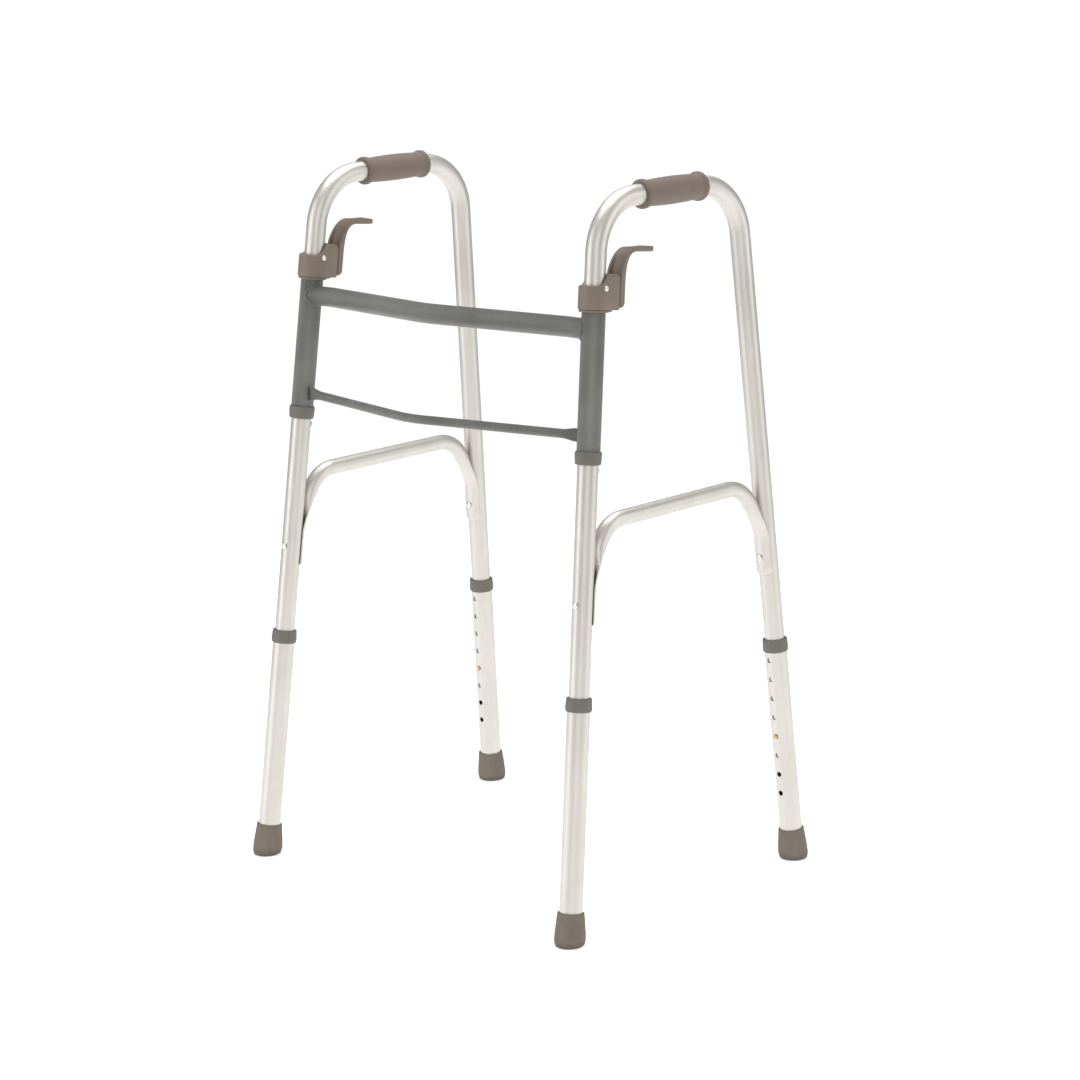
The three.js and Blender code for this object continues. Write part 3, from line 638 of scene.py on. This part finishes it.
def upper_crossbar(sides):
    """The bowed bar, whose ends are coped to fit round the posts."""
    up = Vector((0, 0, 1))
    section = round_section(UPPER_BAR["radius"])
    stations = path(bar_path(sides, UPPER_BAR, COPE_RUN), BAR_BEND_RADIUS)
    rings, straight = rings_along(stations, section, up)
    ring = section(0)
    left_end, middle, right_end = bar_path(sides, UPPER_BAR, 0)
    total = straight[-1][0].z
    for side, end in zip(sides, (left_end, right_end)):
        at_start = side.hand == "left"
        along = (end - middle).normalized()
        first = (up - along * up.dot(along)).normalized()
        second = (-along if at_start else along).cross(first)
        coped = [onto_post(side, end - along * RUN_UP + first * a + second * b, along, POST_RADIUS - 0.6)
                 for a, b in ring]
        distance = -COPE_RUN if at_start else total + COPE_RUN
        place = 0 if at_start else len(rings)
        rings.insert(place, coped)
        straight.insert(place, [Vector((a, b, distance)) for a, b in ring])
    return Shape().loft(rings, straight, capped=True)


def bead(points, radius):
    """A closed rippled weld bead through the points."""
    count = len(points)
    rings = []
    for i, point in enumerate(points):
        tangent = (points[(i + 1) % count] - points[i - 1]).normalized()
        reference = Vector((0, 0, 1)) if abs(tangent.z) < 0.9 else Vector((1, 0, 0))
        first = tangent.cross(reference).normalized()
        second = tangent.cross(first)
        size = radius * (1 + 0.12 * math.sin(i * 2 * math.pi / 3) + 0.05 * math.sin(i * 0.7))
        turns = [2 * math.pi * k / 10 for k in range(10)]
        rings.append([point + (first * math.cos(a) + second * math.sin(a)) * size for a in turns])
    return Shape().loft(rings, closed=True)


def lower_crossbar(sides):
    """The thin bar, whose ends are pressed into upright tabs."""
    corners = bar_path(sides, LOWER_BAR, POST_RADIUS - 1)
    stations = path(corners, BAR_BEND_RADIUS, run_step=4)
    total = stations[-1][2]
    height, thickness, radius = 16, 3.2, LOWER_BAR["radius"]
    count, tab_run, press_run = 32, 26, 20

    def section(distance):
        share = smooth((tab_run - min(distance, total - distance)) / press_run)
        points = []
        for k in range(count):
            a = 2 * math.pi * k / count
            tube = Vector((radius * math.cos(a), radius * math.sin(a)))
            bulge = max(-1, min(1, 1.25 * math.cos(a)))
            flat = Vector((bulge * height / 2, math.copysign(
                abs(math.sin(a)) ** 0.35 * thickness / 2, math.sin(a))))
            points.append(tuple(tube.lerp(flat, share)))
        return points

    return sweep(Shape(), stations, section, Vector((0, 0, 1)), capped=True)


def weld(sides, side, bar, halves, count, gap, size):
    """The bead where a bar meets a post, round an oval of the given (up, out) half sizes."""
    left_end, middle, right_end = bar_path(sides, bar, 0)
    end = left_end if side.hand == "left" else right_end
    along = (end - middle).normalized()
    up = (Vector((0, 0, 1)) - along * along.z).normalized()
    out = along.cross(up)
    points = []
    for k in range(count):
        a = 2 * math.pi * k / count
        start = end - along * RUN_UP + up * halves[0] * math.cos(a) + out * halves[1] * math.sin(a)
        points.append(onto_post(side, start, along, POST_RADIUS + gap))
    return bead(points, size)


def top_bushing():
    """The flange on the post, notched at the back in front of the lever's toe."""
    inner, outer, notch, notch_half_width = POST_RADIUS - 1, 18, 14.6, 5.5
    bottom, top = POST_TOP + 0.3, POST_TOP + 3.1
    half = math.asin(notch_half_width / outer)
    plain = [math.pi / 2 + half + (2 * math.pi - 2 * half) * k / 60 for k in range(61)]
    stations = [(a, outer) for a in plain]
    stations += [(math.pi / 2 - half + 2 * half * k / 6, notch) for k in range(7)]
    rings = [[], [], [], [], [], []]
    for angle, radius in stations:
        levels = [(inner, bottom), (radius - 0.6, bottom), (radius, bottom + 0.6),
                  (radius, top - 0.6), (radius - 0.6, top), (inner, top)]
        for ring, (r, z) in zip(rings, levels):
            ring.append(Vector((r * math.cos(angle), r * math.sin(angle), z)))
    return Shape().loft(rings, closed=True)


# ---- Release housing and lever ----

def housing_outline():
    """Seen along the leg: a round collar whose sides run back to a narrower block."""
    corner = 3
    rear = Vector((BLOCK_HALF_WIDTH, BLOCK_REAR - corner))
    tangent = math.degrees(math.atan2(rear.y, rear.x) - math.acos(HOUSING_RADIUS / rear.length))
    outline = arc(0, 0, HOUSING_RADIUS, 180 - tangent, 360 + tangent, 40)
    side_run = [outline[-1].lerp(rear, k / 8) for k in range(1, 8)]
    outline += side_run
    outline += arc(rear.x - corner, rear.y, corner, 0, 90, 6)
    outline += [Vector((rear.x - corner - 2 * (rear.x - corner) * k / 10, BLOCK_REAR)) for k in range(1, 10)]
    outline += arc(corner - rear.x, rear.y, corner, 90, 180, 6)
    outline += [Vector((-p.x, p.y)) for p in reversed(side_run)]
    return outline


def housing_top(y):
    """The housing's top: a low collar in front, a rise beside the leg, a block with a round back."""
    rise_start, rise_run, back = -5, 14, 8
    rise = smooth((y - rise_start) / rise_run)
    top = HOUSING_COLLAR_TOP + (BLOCK_TOP - HOUSING_COLLAR_TOP) * rise
    past = y - (BLOCK_REAR - back)
    if past > 0:
        top -= back - math.sqrt(max(0, back * back - past * past))
    return top


def release_housing():
    outline = housing_outline()
    count = len(outline)
    rings = [[] for _ in range(18)]
    for i, point in enumerate(outline):
        along = (outline[(i + 1) % count] - outline[i - 1]).normalized()
        inward = Vector((-along.y, along.x))
        bore = point.normalized() * (TUBE_FACE + 0.1)
        low, high = 1.0, 2.8
        column = [(bore, HOUSING_BOTTOM)]
        for angle in (0, 45, 90):
            a = math.radians(angle)
            flat = point + inward * low * (1 - math.sin(a))
            column.append((flat, HOUSING_BOTTOM + low * (1 - math.cos(a))))
        for angle in (0, 22, 45, 67, 90):
            a = math.radians(angle)
            flat = point + inward * high * (1 - math.cos(a))
            column.append((flat, housing_top(flat.y) - high * (1 - math.sin(a))))
        edge = column[-1][0]
        for share in (0.15, 0.3, 0.45, 0.6, 0.75, 0.9):
            flat = edge.lerp(bore, share)
            column.append((flat, housing_top(flat.y)))
        column.append((bore * 1.02, housing_top(bore.y) - 0.15))
        column.append((bore, housing_top(bore.y) - 0.6))
        column.append((bore, HOUSING_BOTTOM + 1))
        for ring, (flat, z) in zip(rings, column):
            ring.append(Vector((flat.x, flat.y, z)))
    return Shape().loft(rings, closed=True)


def lever_sides():
    """Paired points up the lever's front and rear faces, in the (y, z) plane."""
    web, paddle = 31.8, 60
    front = [Vector((web + 0.6, -23.2)), Vector((web, -22))]
    rear = [Vector((38.4, -20.9)), Vector((40.0, -18.4))]
    steps = 5
    for k in range(steps + 1):
        front.append(Vector((web, -17 + 23 * k / steps)))
        rear.append(Vector((40.3, -16 + 24 * k / steps)))
    front += bezier((web, 6), (web, 14), (33, 20), (35.2, 25), 6)
    front += bezier((35.2, 25), (40, 36), (47, 47.4), (paddle, 49), 10)
    rear += bezier((40.3, 8), (40.8, 34), (46, 43.6), (paddle, 43.8), 16)
    for k in range(1, 7):
        y, rise = paddle + (LEVER_TIP.x - paddle) * k / 6, (k / 6) ** 2
        front.append(Vector((y, 49 + 1.8 * rise)))
        rear.append(Vector((y, 43.8 + 0.6 * rise)))
    for angle in (72, 54, 36, 18, 4):
        a = math.radians(angle)
        front.append(LEVER_TIP + LEVER_TIP_RADIUS * Vector((math.cos(a), math.sin(a))))
        rear.append(LEVER_TIP + LEVER_TIP_RADIUS * Vector((math.cos(a), -math.sin(a))))
    return front, rear


def release_lever():
    """A web and a curved paddle with a scooped channel between two ribs on its front."""
    front, rear = lever_sides()
    corner, rib, scoop = 6, 3.4, 5.6
    rings = []
    for f, r in zip(front, rear):
        middle = (f + r) / 2
        thick = (f - r).length
        half = LEVER_WIDTH / 2
        end = LEVER_TIP.x + LEVER_TIP_RADIUS + 0.2 - middle.x
        if end < corner:
            half -= corner - math.sqrt(max(0, corner * corner - (corner - max(end, 0.2)) ** 2))
        fillet = min(1.3, thick * 0.45)
        depth = scoop * smooth((f.y - 4) / 8) * smooth((41 - f.y) / 14)
        floor = half - rib - min(depth, 1.2)
        section = [(-half + fillet, 0), (half - fillet, 0)]
        section += [(half - fillet + fillet * math.sin(a), fillet * (1 - math.cos(a)))
                    for a in (math.radians(k) for k in (30, 60, 90))]
        section += [(half - fillet + fillet * math.cos(a), thick - fillet * (1 - math.sin(a)))
                    for a in (math.radians(k) for k in (0, 30, 60, 90))]
        section += [(half - rib, thick), (half - rib - 0.35, thick - depth * 0.12),
                    (floor, thick - depth * 0.85), (floor - 1.2, thick - depth),
                    (0, thick - depth)]
        section += [(-x, v) for x, v in reversed(section[:-1])][:-1]
        rings.append([Vector((x, *(r + (f - r) * (v / thick)))) for x, v in section])
    return Shape().loft(rings, capped=True)


def lever_tongue():
    """The part of the lever inside the housing, with the toe behind the post's flange."""
    corners = [
        (19.2, -28.2, 0.6), (25.6, -28.2, 0.8), (31.6, -22.6, 1), (31.6, 8, 1),
        (27, 9.5, 2), (19, 9.5, 4), (17.6, -24.4, 0.5),
    ]
    return slab(filleted(corners), 10, 0.6)


def cut_slot(piece, place):
    """Cuts the lever's slot through the back of a housing."""
    width, near, far = 11.2, TUBE_FACE + 0.5, 60
    corners = [Vector((x, y, z)) for x in (-width / 2, width / 2)
               for y in (near, far) for z in (HOUSING_BOTTOM - 5, BLOCK_TOP + 5)]
    mesh = bpy.data.meshes.new("slot")
    faces = [(0, 1, 3, 2), (4, 6, 7, 5), (0, 4, 5, 1), (2, 3, 7, 6), (0, 2, 6, 4), (1, 5, 7, 3)]
    mesh.from_pydata([place @ c for c in corners], [], faces)
    cutter = bpy.data.objects.new("slot", mesh)
    bpy.context.scene.collection.objects.link(cutter)
    tidy(mesh)
    cut = piece.modifiers.new("slot", "BOOLEAN")
    cut.operation = "DIFFERENCE"
    cut.solver = "EXACT"
    cut.object = cutter
    evaluated = piece.evaluated_get(bpy.context.evaluated_depsgraph_get())
    piece.data = bpy.data.meshes.new_from_object(evaluated)
    piece.modifiers.clear()
    bpy.data.objects.remove(cutter)
    piece.data.set_sharp_from_angle(angle=SHARP_ANGLE)


# ---- Materials ----

class Recipe:
    """A material's node tree, with short ways to add and join its nodes."""

    def __init__(self, name, roughness, metallic=0.0, specular=0.5):
        self.material = bpy.data.materials.new(name)
        self.material.use_nodes = True
        self.tree = self.material.node_tree
        self.shader = self.tree.nodes["Principled BSDF"]
        self.shader.inputs["Roughness"].default_value = roughness
        self.shader.inputs["Metallic"].default_value = metallic
        self.shader.inputs["Specular IOR Level"].default_value = specular

    def node(self, kind, inputs=(), **settings):
        node = self.tree.nodes.new(f"ShaderNode{kind}")
        for key, value in settings.items():
            setattr(node, key, value)
        for key, value in dict(inputs).items():
            if isinstance(value, bpy.types.NodeSocket):
                self.tree.links.new(value, node.inputs[key])
            else:
                node.inputs[key].default_value = value
        return node

    def paint(self, socket, source):
        self.tree.links.new(source, self.shader.inputs[socket])

    def place(self, stretch=(1, 1, 1), bent=False):
        """Coordinates on the piece in metres: in its straightened shape if bent."""
        if bent:
            source = self.node("Attribute", attribute_name="straight").outputs["Vector"]
        else:
            source = self.node("TexCoord").outputs["Object"]
        return self.node("Mapping", {"Vector": source, "Scale": stretch}).outputs["Vector"]

    def noise(self, vector, scale, detail=3.0, roughness=0.5):
        inputs = {"Vector": vector, "Scale": scale, "Detail": detail, "Roughness": roughness}
        return self.node("TexNoise", inputs).outputs["Fac"]

    def spread(self, value, low, high, to_low=0.0, to_high=1.0):
        inputs = {"Value": value, "From Min": low, "From Max": high, "To Min": to_low, "To Max": to_high}
        return self.node("MapRange", inputs).outputs["Result"]

    def blend(self, share, one, two):
        return self.node("Mix", {0: share, 6: one, 7: two}, data_type="RGBA").outputs[2]

    def add(self, one, two, share=1.0):
        scaled = self.node("Math", {0: two, 1: share}, operation="MULTIPLY").outputs[0]
        return self.node("Math", {0: one, 1: scaled}, operation="ADD").outputs[0]

    def bump(self, height, strength, distance):
        inputs = {"Height": height, "Strength": strength, "Distance": distance}
        self.paint("Normal", self.node("Bump", inputs).outputs["Normal"])

    def edge_wear(self, colour, worn, amount):
        """Lightens convex edges, broken up by noise."""
        edges = self.spread(self.node("NewGeometry").outputs["Pointiness"], 0.52, 0.6)
        patches = self.spread(self.noise(self.place(), 160), 0.4, 0.65)
        share = self.node("Math", {0: edges, 1: patches}, operation="MULTIPLY").outputs[0]
        share = self.node("Math", {0: share, 1: amount}, operation="MULTIPLY").outputs[0]
        return self.blend(share, colour, worn)


def srgb(red, green, blue):
    """A colour given as it looks on screen, from 0 to 255."""
    def linear(value):
        value /= 255
        return value / 12.92 if value <= 0.04045 else ((value + 0.055) / 1.055) ** 2.4
    return (linear(red), linear(green), linear(blue), 1)


def anodised_aluminium():
    """Satin drawn tube: fine lines along its length and faint cloudy patches."""
    recipe = Recipe("anodised_aluminium", 0.44, metallic=1.0)
    lines = recipe.noise(recipe.place((1, 1, 0.012), bent=True), 900, detail=4, roughness=0.65)
    clouds = recipe.noise(recipe.place((1, 1, 0.35), bent=True), 22, detail=3)
    smudges = recipe.noise(recipe.place(bent=True), 70, detail=5, roughness=0.6)
    tone = recipe.blend(recipe.spread(lines, 0.3, 0.7), srgb(203, 200, 194), srgb(211, 208, 203))
    tone = recipe.blend(recipe.spread(clouds, 0.4, 0.75, 0, 0.6), tone, srgb(192, 188, 181))
    recipe.paint("Base Color", tone)
    rough = recipe.spread(lines, 0.3, 0.7, 0.41, 0.47)
    rough = recipe.add(rough, recipe.spread(smudges, 0.45, 0.7), 0.06)
    recipe.paint("Roughness", rough)
    recipe.bump(lines, 0.025, 0.0004)
    return recipe.material


def hammered_paint():
    """Grey hammertone powder paint with its small dimples, and shade painted darker down in them."""
    recipe = Recipe("grey_hammer_paint", 0.36, metallic=0.75)
    wobble = recipe.node("TexNoise", {"Vector": recipe.place(bent=True), "Scale": 260.0, "Detail": 2.0})
    place = recipe.blend(0.12, recipe.place(bent=True), wobble.outputs["Color"])
    cells = recipe.node("TexVoronoi", {"Vector": place, "Scale": 330.0, "Smoothness": 0.4},
                        feature="SMOOTH_F1").outputs["Distance"]
    grain = recipe.noise(recipe.place(bent=True), 1400, detail=2)
    height = recipe.add(cells, grain, 0.25)
    # Painted shade: the colour follows the dimples' depth, darker down in each dimple and lighter on the
    # ridges between them.
    tone = recipe.blend(recipe.spread(cells, 0.15, 0.6), srgb(92, 92, 88), srgb(150, 150, 146))
    drift = recipe.spread(recipe.noise(recipe.place(bent=True), 12), 0.35, 0.7, 0, 0.5)
    tone = recipe.blend(drift, tone, srgb(105, 105, 101))
    recipe.paint("Base Color", recipe.edge_wear(tone, srgb(160, 160, 158), 0.5))
    recipe.paint("Roughness", recipe.spread(cells, 0.1, 0.8, 0.24, 0.4))
    recipe.bump(height, 0.8, 0.0012)
    return recipe.material


def moulded_plastic(name, base, worn, roughness, grain_scale, grain):
    """Plastic with a fine moulded grain, slow tone drift and rubbed edges."""
    recipe = Recipe(name, roughness, specular=0.4)
    texture = recipe.noise(recipe.place(), grain_scale, detail=3, roughness=0.6)
    drift = recipe.noise(recipe.place(), 35, detail=4)
    darker = tuple(value * 0.86 for value in base[:3]) + (1,)
    tone = recipe.blend(recipe.spread(drift, 0.35, 0.7, 0, 0.7), base, darker)
    tone = recipe.blend(recipe.spread(texture, 0.35, 0.65, 0, 0.25), tone, worn)
    recipe.paint("Base Color", recipe.edge_wear(tone, worn, 0.6))
    rough = recipe.spread(texture, 0.3, 0.7, roughness - 0.06, roughness + 0.08)
    recipe.paint("Roughness", recipe.add(rough, recipe.spread(drift, 0.5, 0.8), -0.08))
    recipe.bump(texture, grain, 0.0004)
    return recipe.material


def rubber():
    """Matt rubber with a powdery bloom, turning darker in its lowest few millimetres."""
    recipe = Recipe("rubber_tip", 0.78, specular=0.3)
    fine = recipe.noise(recipe.place(), 900, detail=4, roughness=0.7)
    bloom = recipe.noise(recipe.place((1, 1, 0.6)), 60, detail=5, roughness=0.6)
    base, light, dark = srgb(111, 102, 93), srgb(131, 122, 113), srgb(92, 84, 77)
    tone = recipe.blend(recipe.spread(bloom, 0.4, 0.75, 0, 0.6), base, light)
    tone = recipe.blend(recipe.spread(fine, 0.5, 0.75, 0, 0.3), tone, dark)
    height = recipe.node("SeparateXYZ", {"Vector": recipe.place()}).outputs["Z"]
    # Darker over the lowest 4 to 13 mm towards the floor, its edge broken up by the bloom noise.
    near_floor = recipe.spread(recipe.add(height, bloom, 0.006), 0.004, 0.013, 1, 0)
    recipe.paint("Base Color", recipe.blend(near_floor, tone, dark))
    recipe.paint("Roughness", recipe.spread(bloom, 0.3, 0.8, 0.7, 0.86))
    recipe.bump(fine, 0.2, 0.0004)
    return recipe.material


def plated_metal(name, base, stain, roughness):
    """Small plated hardware: bright metal with fine pitting and duller patches."""
    recipe = Recipe(name, roughness, metallic=1.0)
    pits = recipe.noise(recipe.place(), 1500, detail=3)
    patches = recipe.noise(recipe.place(), 240, detail=4)
    recipe.paint("Base Color", recipe.blend(recipe.spread(patches, 0.45, 0.7), base, stain))
    recipe.paint("Roughness", recipe.spread(patches, 0.3, 0.7, roughness - 0.06, roughness + 0.12))
    recipe.bump(pits, 0.12, 0.0003)
    return recipe.material


ALUMINIUM = anodised_aluminium()
PAINT = hammered_paint()
TAUPE = moulded_plastic("taupe_plastic", srgb(118, 105, 94), srgb(142, 129, 118), 0.5, 1300, 0.12)
VINYL = moulded_plastic("grip_vinyl", srgb(117, 104, 95), srgb(136, 124, 114), 0.62, 1000, 0.25)
GREY = moulded_plastic("grey_plastic", srgb(102, 100, 91), srgb(128, 125, 116), 0.52, 1300, 0.12)
RUBBER = rubber()
PLATED = plated_metal("plated_steel", srgb(222, 221, 218), srgb(196, 195, 191), 0.26)
BRASSY = plated_metal("brassy_button", srgb(214, 184, 132), srgb(186, 150, 98), 0.3)


# ---- Assembly ----

def paint_cad(node, material):
    """Gives its material to a CAD solid that is shown as it is."""
    materials = frame["nodes"][node].data.materials
    materials.clear()
    materials.append(material)


def add_leg(side, leg):
    name = f"{side.hand}_{leg}"
    body = f"{name}_leg"
    place = side.legs[leg]
    top = extension_top(leg)
    wall = holed_tube(EXTENSION_RADIUS, EXTENSION_WALL, EXTENSION_BOTTOM, top, hole_heights(leg))
    add_piece(f"{name}_lower_tube", wall, place, body, ALUMINIUM, f"{name}_leg_extension")
    add_piece(f"{name}_tube_cap", collar(COLLAR_HEIGHT), side.on(leg, COLLAR_TOP[leg] - COLLAR_HEIGHT),
              body, GREY, f"{name}_leg_collar")
    up = place.to_3x3().normalized().inverted() @ Vector((0, 0, 1))
    add_piece(f"{name}_rubber_foot", foot_tip(up), place, body, RUBBER, f"{name}_foot_tip")
    button = side.on(leg, hole_heights(leg)[BUTTON_HOLE]) @ OUTWARD
    add_piece(f"{name}_button_dome", snap_button(), button, f"{name}_button", BRASSY, f"{name}_snap_button")
    paint_cad(f"{name}_foot_washer", PLATED)
    paint_cad(f"{name}_button_spring", PLATED)


def add_side(side):
    hand = side.hand
    body = f"{hand}_side_frame"
    add_piece(f"{hand}_upper_tube", side_tube(side), side.plane, body, ALUMINIUM, f"{hand}_side_tube")
    add_piece(f"{hand}_grip", handgrip(), grip_place(side), body, VINYL, f"{hand}_handgrip")
    add_piece(f"{hand}_brace_tube", side_brace(side), side.plane, body, ALUMINIUM, f"{hand}_side_brace")
    for leg in LEGS:
        node = f"{hand}_brace_{leg}_rivet"
        at = side.on(leg, BRACE_RIVET_HEIGHT[leg])
        add_piece(f"{hand}_{leg}_rivet_inner", rivet(*BRACE_RIVET, TUBE_FACE + TAB_THICKNESS + 0.1),
                  at @ OUTWARD, body, PLATED, node)
        add_piece(f"{hand}_{leg}_rivet_outer", rivet(*BRACE_RIVET, TUBE_RADIUS),
                  at @ OUTWARD.inverted(), body, PLATED)
    add_piece(f"{hand}_stop_rivet", rivet(*STOP_RIVET, TUBE_FACE),
              side.on("front", STOP_RIVET_HEIGHT) @ OUTWARD, body, PLATED, f"{hand}_post_stop_rivet")

    datum = side.on("front", HOUSING_HEIGHT)
    housing = add_piece(f"{hand}_housing", release_housing(), datum, body, TAUPE, f"{hand}_release_housing")
    cut_slot(housing, datum)
    for i, turn in enumerate((math.pi / 2, -math.pi / 2)):
        face = Matrix.Rotation(turn, 4, "Y")
        add_piece(f"{hand}_housing_rivet_{i + 1}", rivet(*HOUSING_RIVET, HOUSING_RADIUS - 0.1),
                  datum @ face, body, PLATED, None if i else f"{hand}_housing_rivet")
    lever_body = f"{hand}_release_lever"
    add_piece(f"{hand}_lever", release_lever(), datum, lever_body, TAUPE, f"{hand}_release_lever")
    add_piece(f"{hand}_lever_toe", lever_tongue(), datum, lever_body, TAUPE)
    paint_cad(f"{hand}_lever_spring", PLATED)
    for leg in LEGS:
        add_leg(side, leg)


def add_crossbar_frame(sides):
    body = "crossbar_frame"
    whole = Matrix.Scale(MM, 4)
    for side in sides:
        hand = side.hand
        leg = side.legs["front"]
        add_piece(f"{hand}_post_sleeve", post(), leg, body, PAINT, f"{hand}_post")
        add_piece(f"{hand}_post_flange", top_bushing(), leg, body, TAUPE, f"{hand}_post_top_bushing")
        base = side.on("front", POST_BOTTOM - COLLAR_LIP - 0.3 + POST_COLLAR_HEIGHT)
        add_piece(f"{hand}_post_cap", collar(POST_COLLAR_HEIGHT), base @ Matrix.Rotation(math.pi, 4, "X"),
                  body, GREY, f"{hand}_post_bottom_collar")
        for name, bar, bead_at in (("upper", UPPER_BAR, UPPER_WELD), ("lower", LOWER_BAR, LOWER_WELD)):
            add_piece(f"{hand}_{name}_weld", weld(sides, side, bar, **bead_at), whole, body, PAINT)
    add_piece("upper_bar", upper_crossbar(sides), whole, body, PAINT, "upper_crossbar")
    add_piece("lower_bar", lower_crossbar(sides), whole, body, PAINT, "lower_crossbar")


SIDES = [Side(hand) for hand in HANDS]
for one_side in SIDES:
    add_side(one_side)
add_crossbar_frame(SIDES)


# ---- Camera, floor and lights ----

AZIMUTH, ELEVATION, ROLL = map(math.radians, (44.454, 13.084, -1.842))
CAMERA_DISTANCE = 4.1001
AIM_ACROSS, AIM_HEIGHT = 0.0291, 0.4209
FOCAL_LENGTH = 107.14
SOFTBOX_AIM = 0.45


def add_camera():
    level = math.cos(ELEVATION)
    back = Vector((math.sin(AZIMUTH) * level, -math.cos(AZIMUTH) * level, math.sin(ELEVATION)))
    right = Vector((math.cos(AZIMUTH), math.sin(AZIMUTH), 0))
    up = back.cross(right)
    data = bpy.data.cameras.new("camera")
    data.sensor_width = 36
    data.lens = FOCAL_LENGTH
    camera = bpy.data.objects.new("camera", data)
    tilted_right = right * math.cos(ROLL) + up * math.sin(ROLL)
    tilted_up = up * math.cos(ROLL) - right * math.sin(ROLL)
    turn = Matrix((tilted_right, tilted_up, back)).transposed()
    place = right * AIM_ACROSS + Vector((0, 0, AIM_HEIGHT)) + back * CAMERA_DISTANCE
    camera.matrix_world = Matrix.Translation(place) @ turn.to_4x4()
    bpy.context.scene.collection.objects.link(camera)
    bpy.context.scene.camera = camera


def add_floor():
    shape = Shape().loft([circle(radius, -0.2, 96) for radius in (0, 1000, 2600)])
    floor = shape.object("floor", Matrix.Scale(MM, 4))
    recipe = Recipe("floor_white", 0.85, specular=0.1)
    clouds = recipe.noise(recipe.place(), 3)
    recipe.paint("Base Color", recipe.blend(clouds, (0.93, 0.93, 0.925, 1), (0.95, 0.95, 0.95, 1)))
    recipe.shader.inputs["Emission Color"].default_value = (1, 1, 1, 1)
    recipe.shader.inputs["Emission Strength"].default_value = 0.4
    floor.data.materials.append(recipe.material)


def add_softbox(name, bearing, height, distance, size, power):
    """An area light; its bearing from the camera's direction is positive to the camera's left."""
    angle = AZIMUTH - math.radians(bearing)
    place = Vector((math.sin(angle) * distance, -math.cos(angle) * distance, height))
    data = bpy.data.lights.new(name, "AREA")
    data.shape = "RECTANGLE"
    data.size, data.size_y = size
    data.energy = power
    light = bpy.data.objects.new(name, data)
    light.location = place
    light.rotation_euler = (Vector((0, 0, SOFTBOX_AIM)) - place).to_track_quat("-Z", "Y").to_euler()
    light.visible_camera = False
    bpy.context.scene.collection.objects.link(light)


def add_world():
    """White behind the object, and a greyer studio in what the metal reflects."""
    world = bpy.data.worlds.new("studio")
    world.use_nodes = True
    nodes, links = world.node_tree.nodes, world.node_tree.links
    seen = nodes["Background"]
    seen.inputs["Color"].default_value = (1, 1, 1, 1)
    seen.inputs["Strength"].default_value = 1.05
    room = nodes.new("ShaderNodeBackground")
    room.inputs["Color"].default_value = (1, 0.995, 0.98, 1)
    room.inputs["Strength"].default_value = 0.5
    choose = nodes.new("ShaderNodeMixShader")
    rays = nodes.new("ShaderNodeLightPath")
    links.new(rays.outputs["Is Camera Ray"], choose.inputs["Fac"])
    links.new(room.outputs["Background"], choose.inputs[1])
    links.new(seen.outputs["Background"], choose.inputs[2])
    links.new(choose.outputs["Shader"], nodes["World Output"].inputs["Surface"])
    bpy.context.scene.world = world


add_camera()
add_floor()
add_world()
add_softbox("left_key", 72, 1.2, 2.6, (1.5, 2.4), 22)
add_softbox("camera_fill", -4, 1.6, 3.4, (1.6, 2.6), 19)
add_softbox("right_fill", -76, 1.2, 2.6, (1.3, 2.2), 14)
add_softbox("overhead", 180, 3.0, 0.4, (2.4, 2.4), 54)
bpy.context.scene.view_settings.view_transform = "Standard"
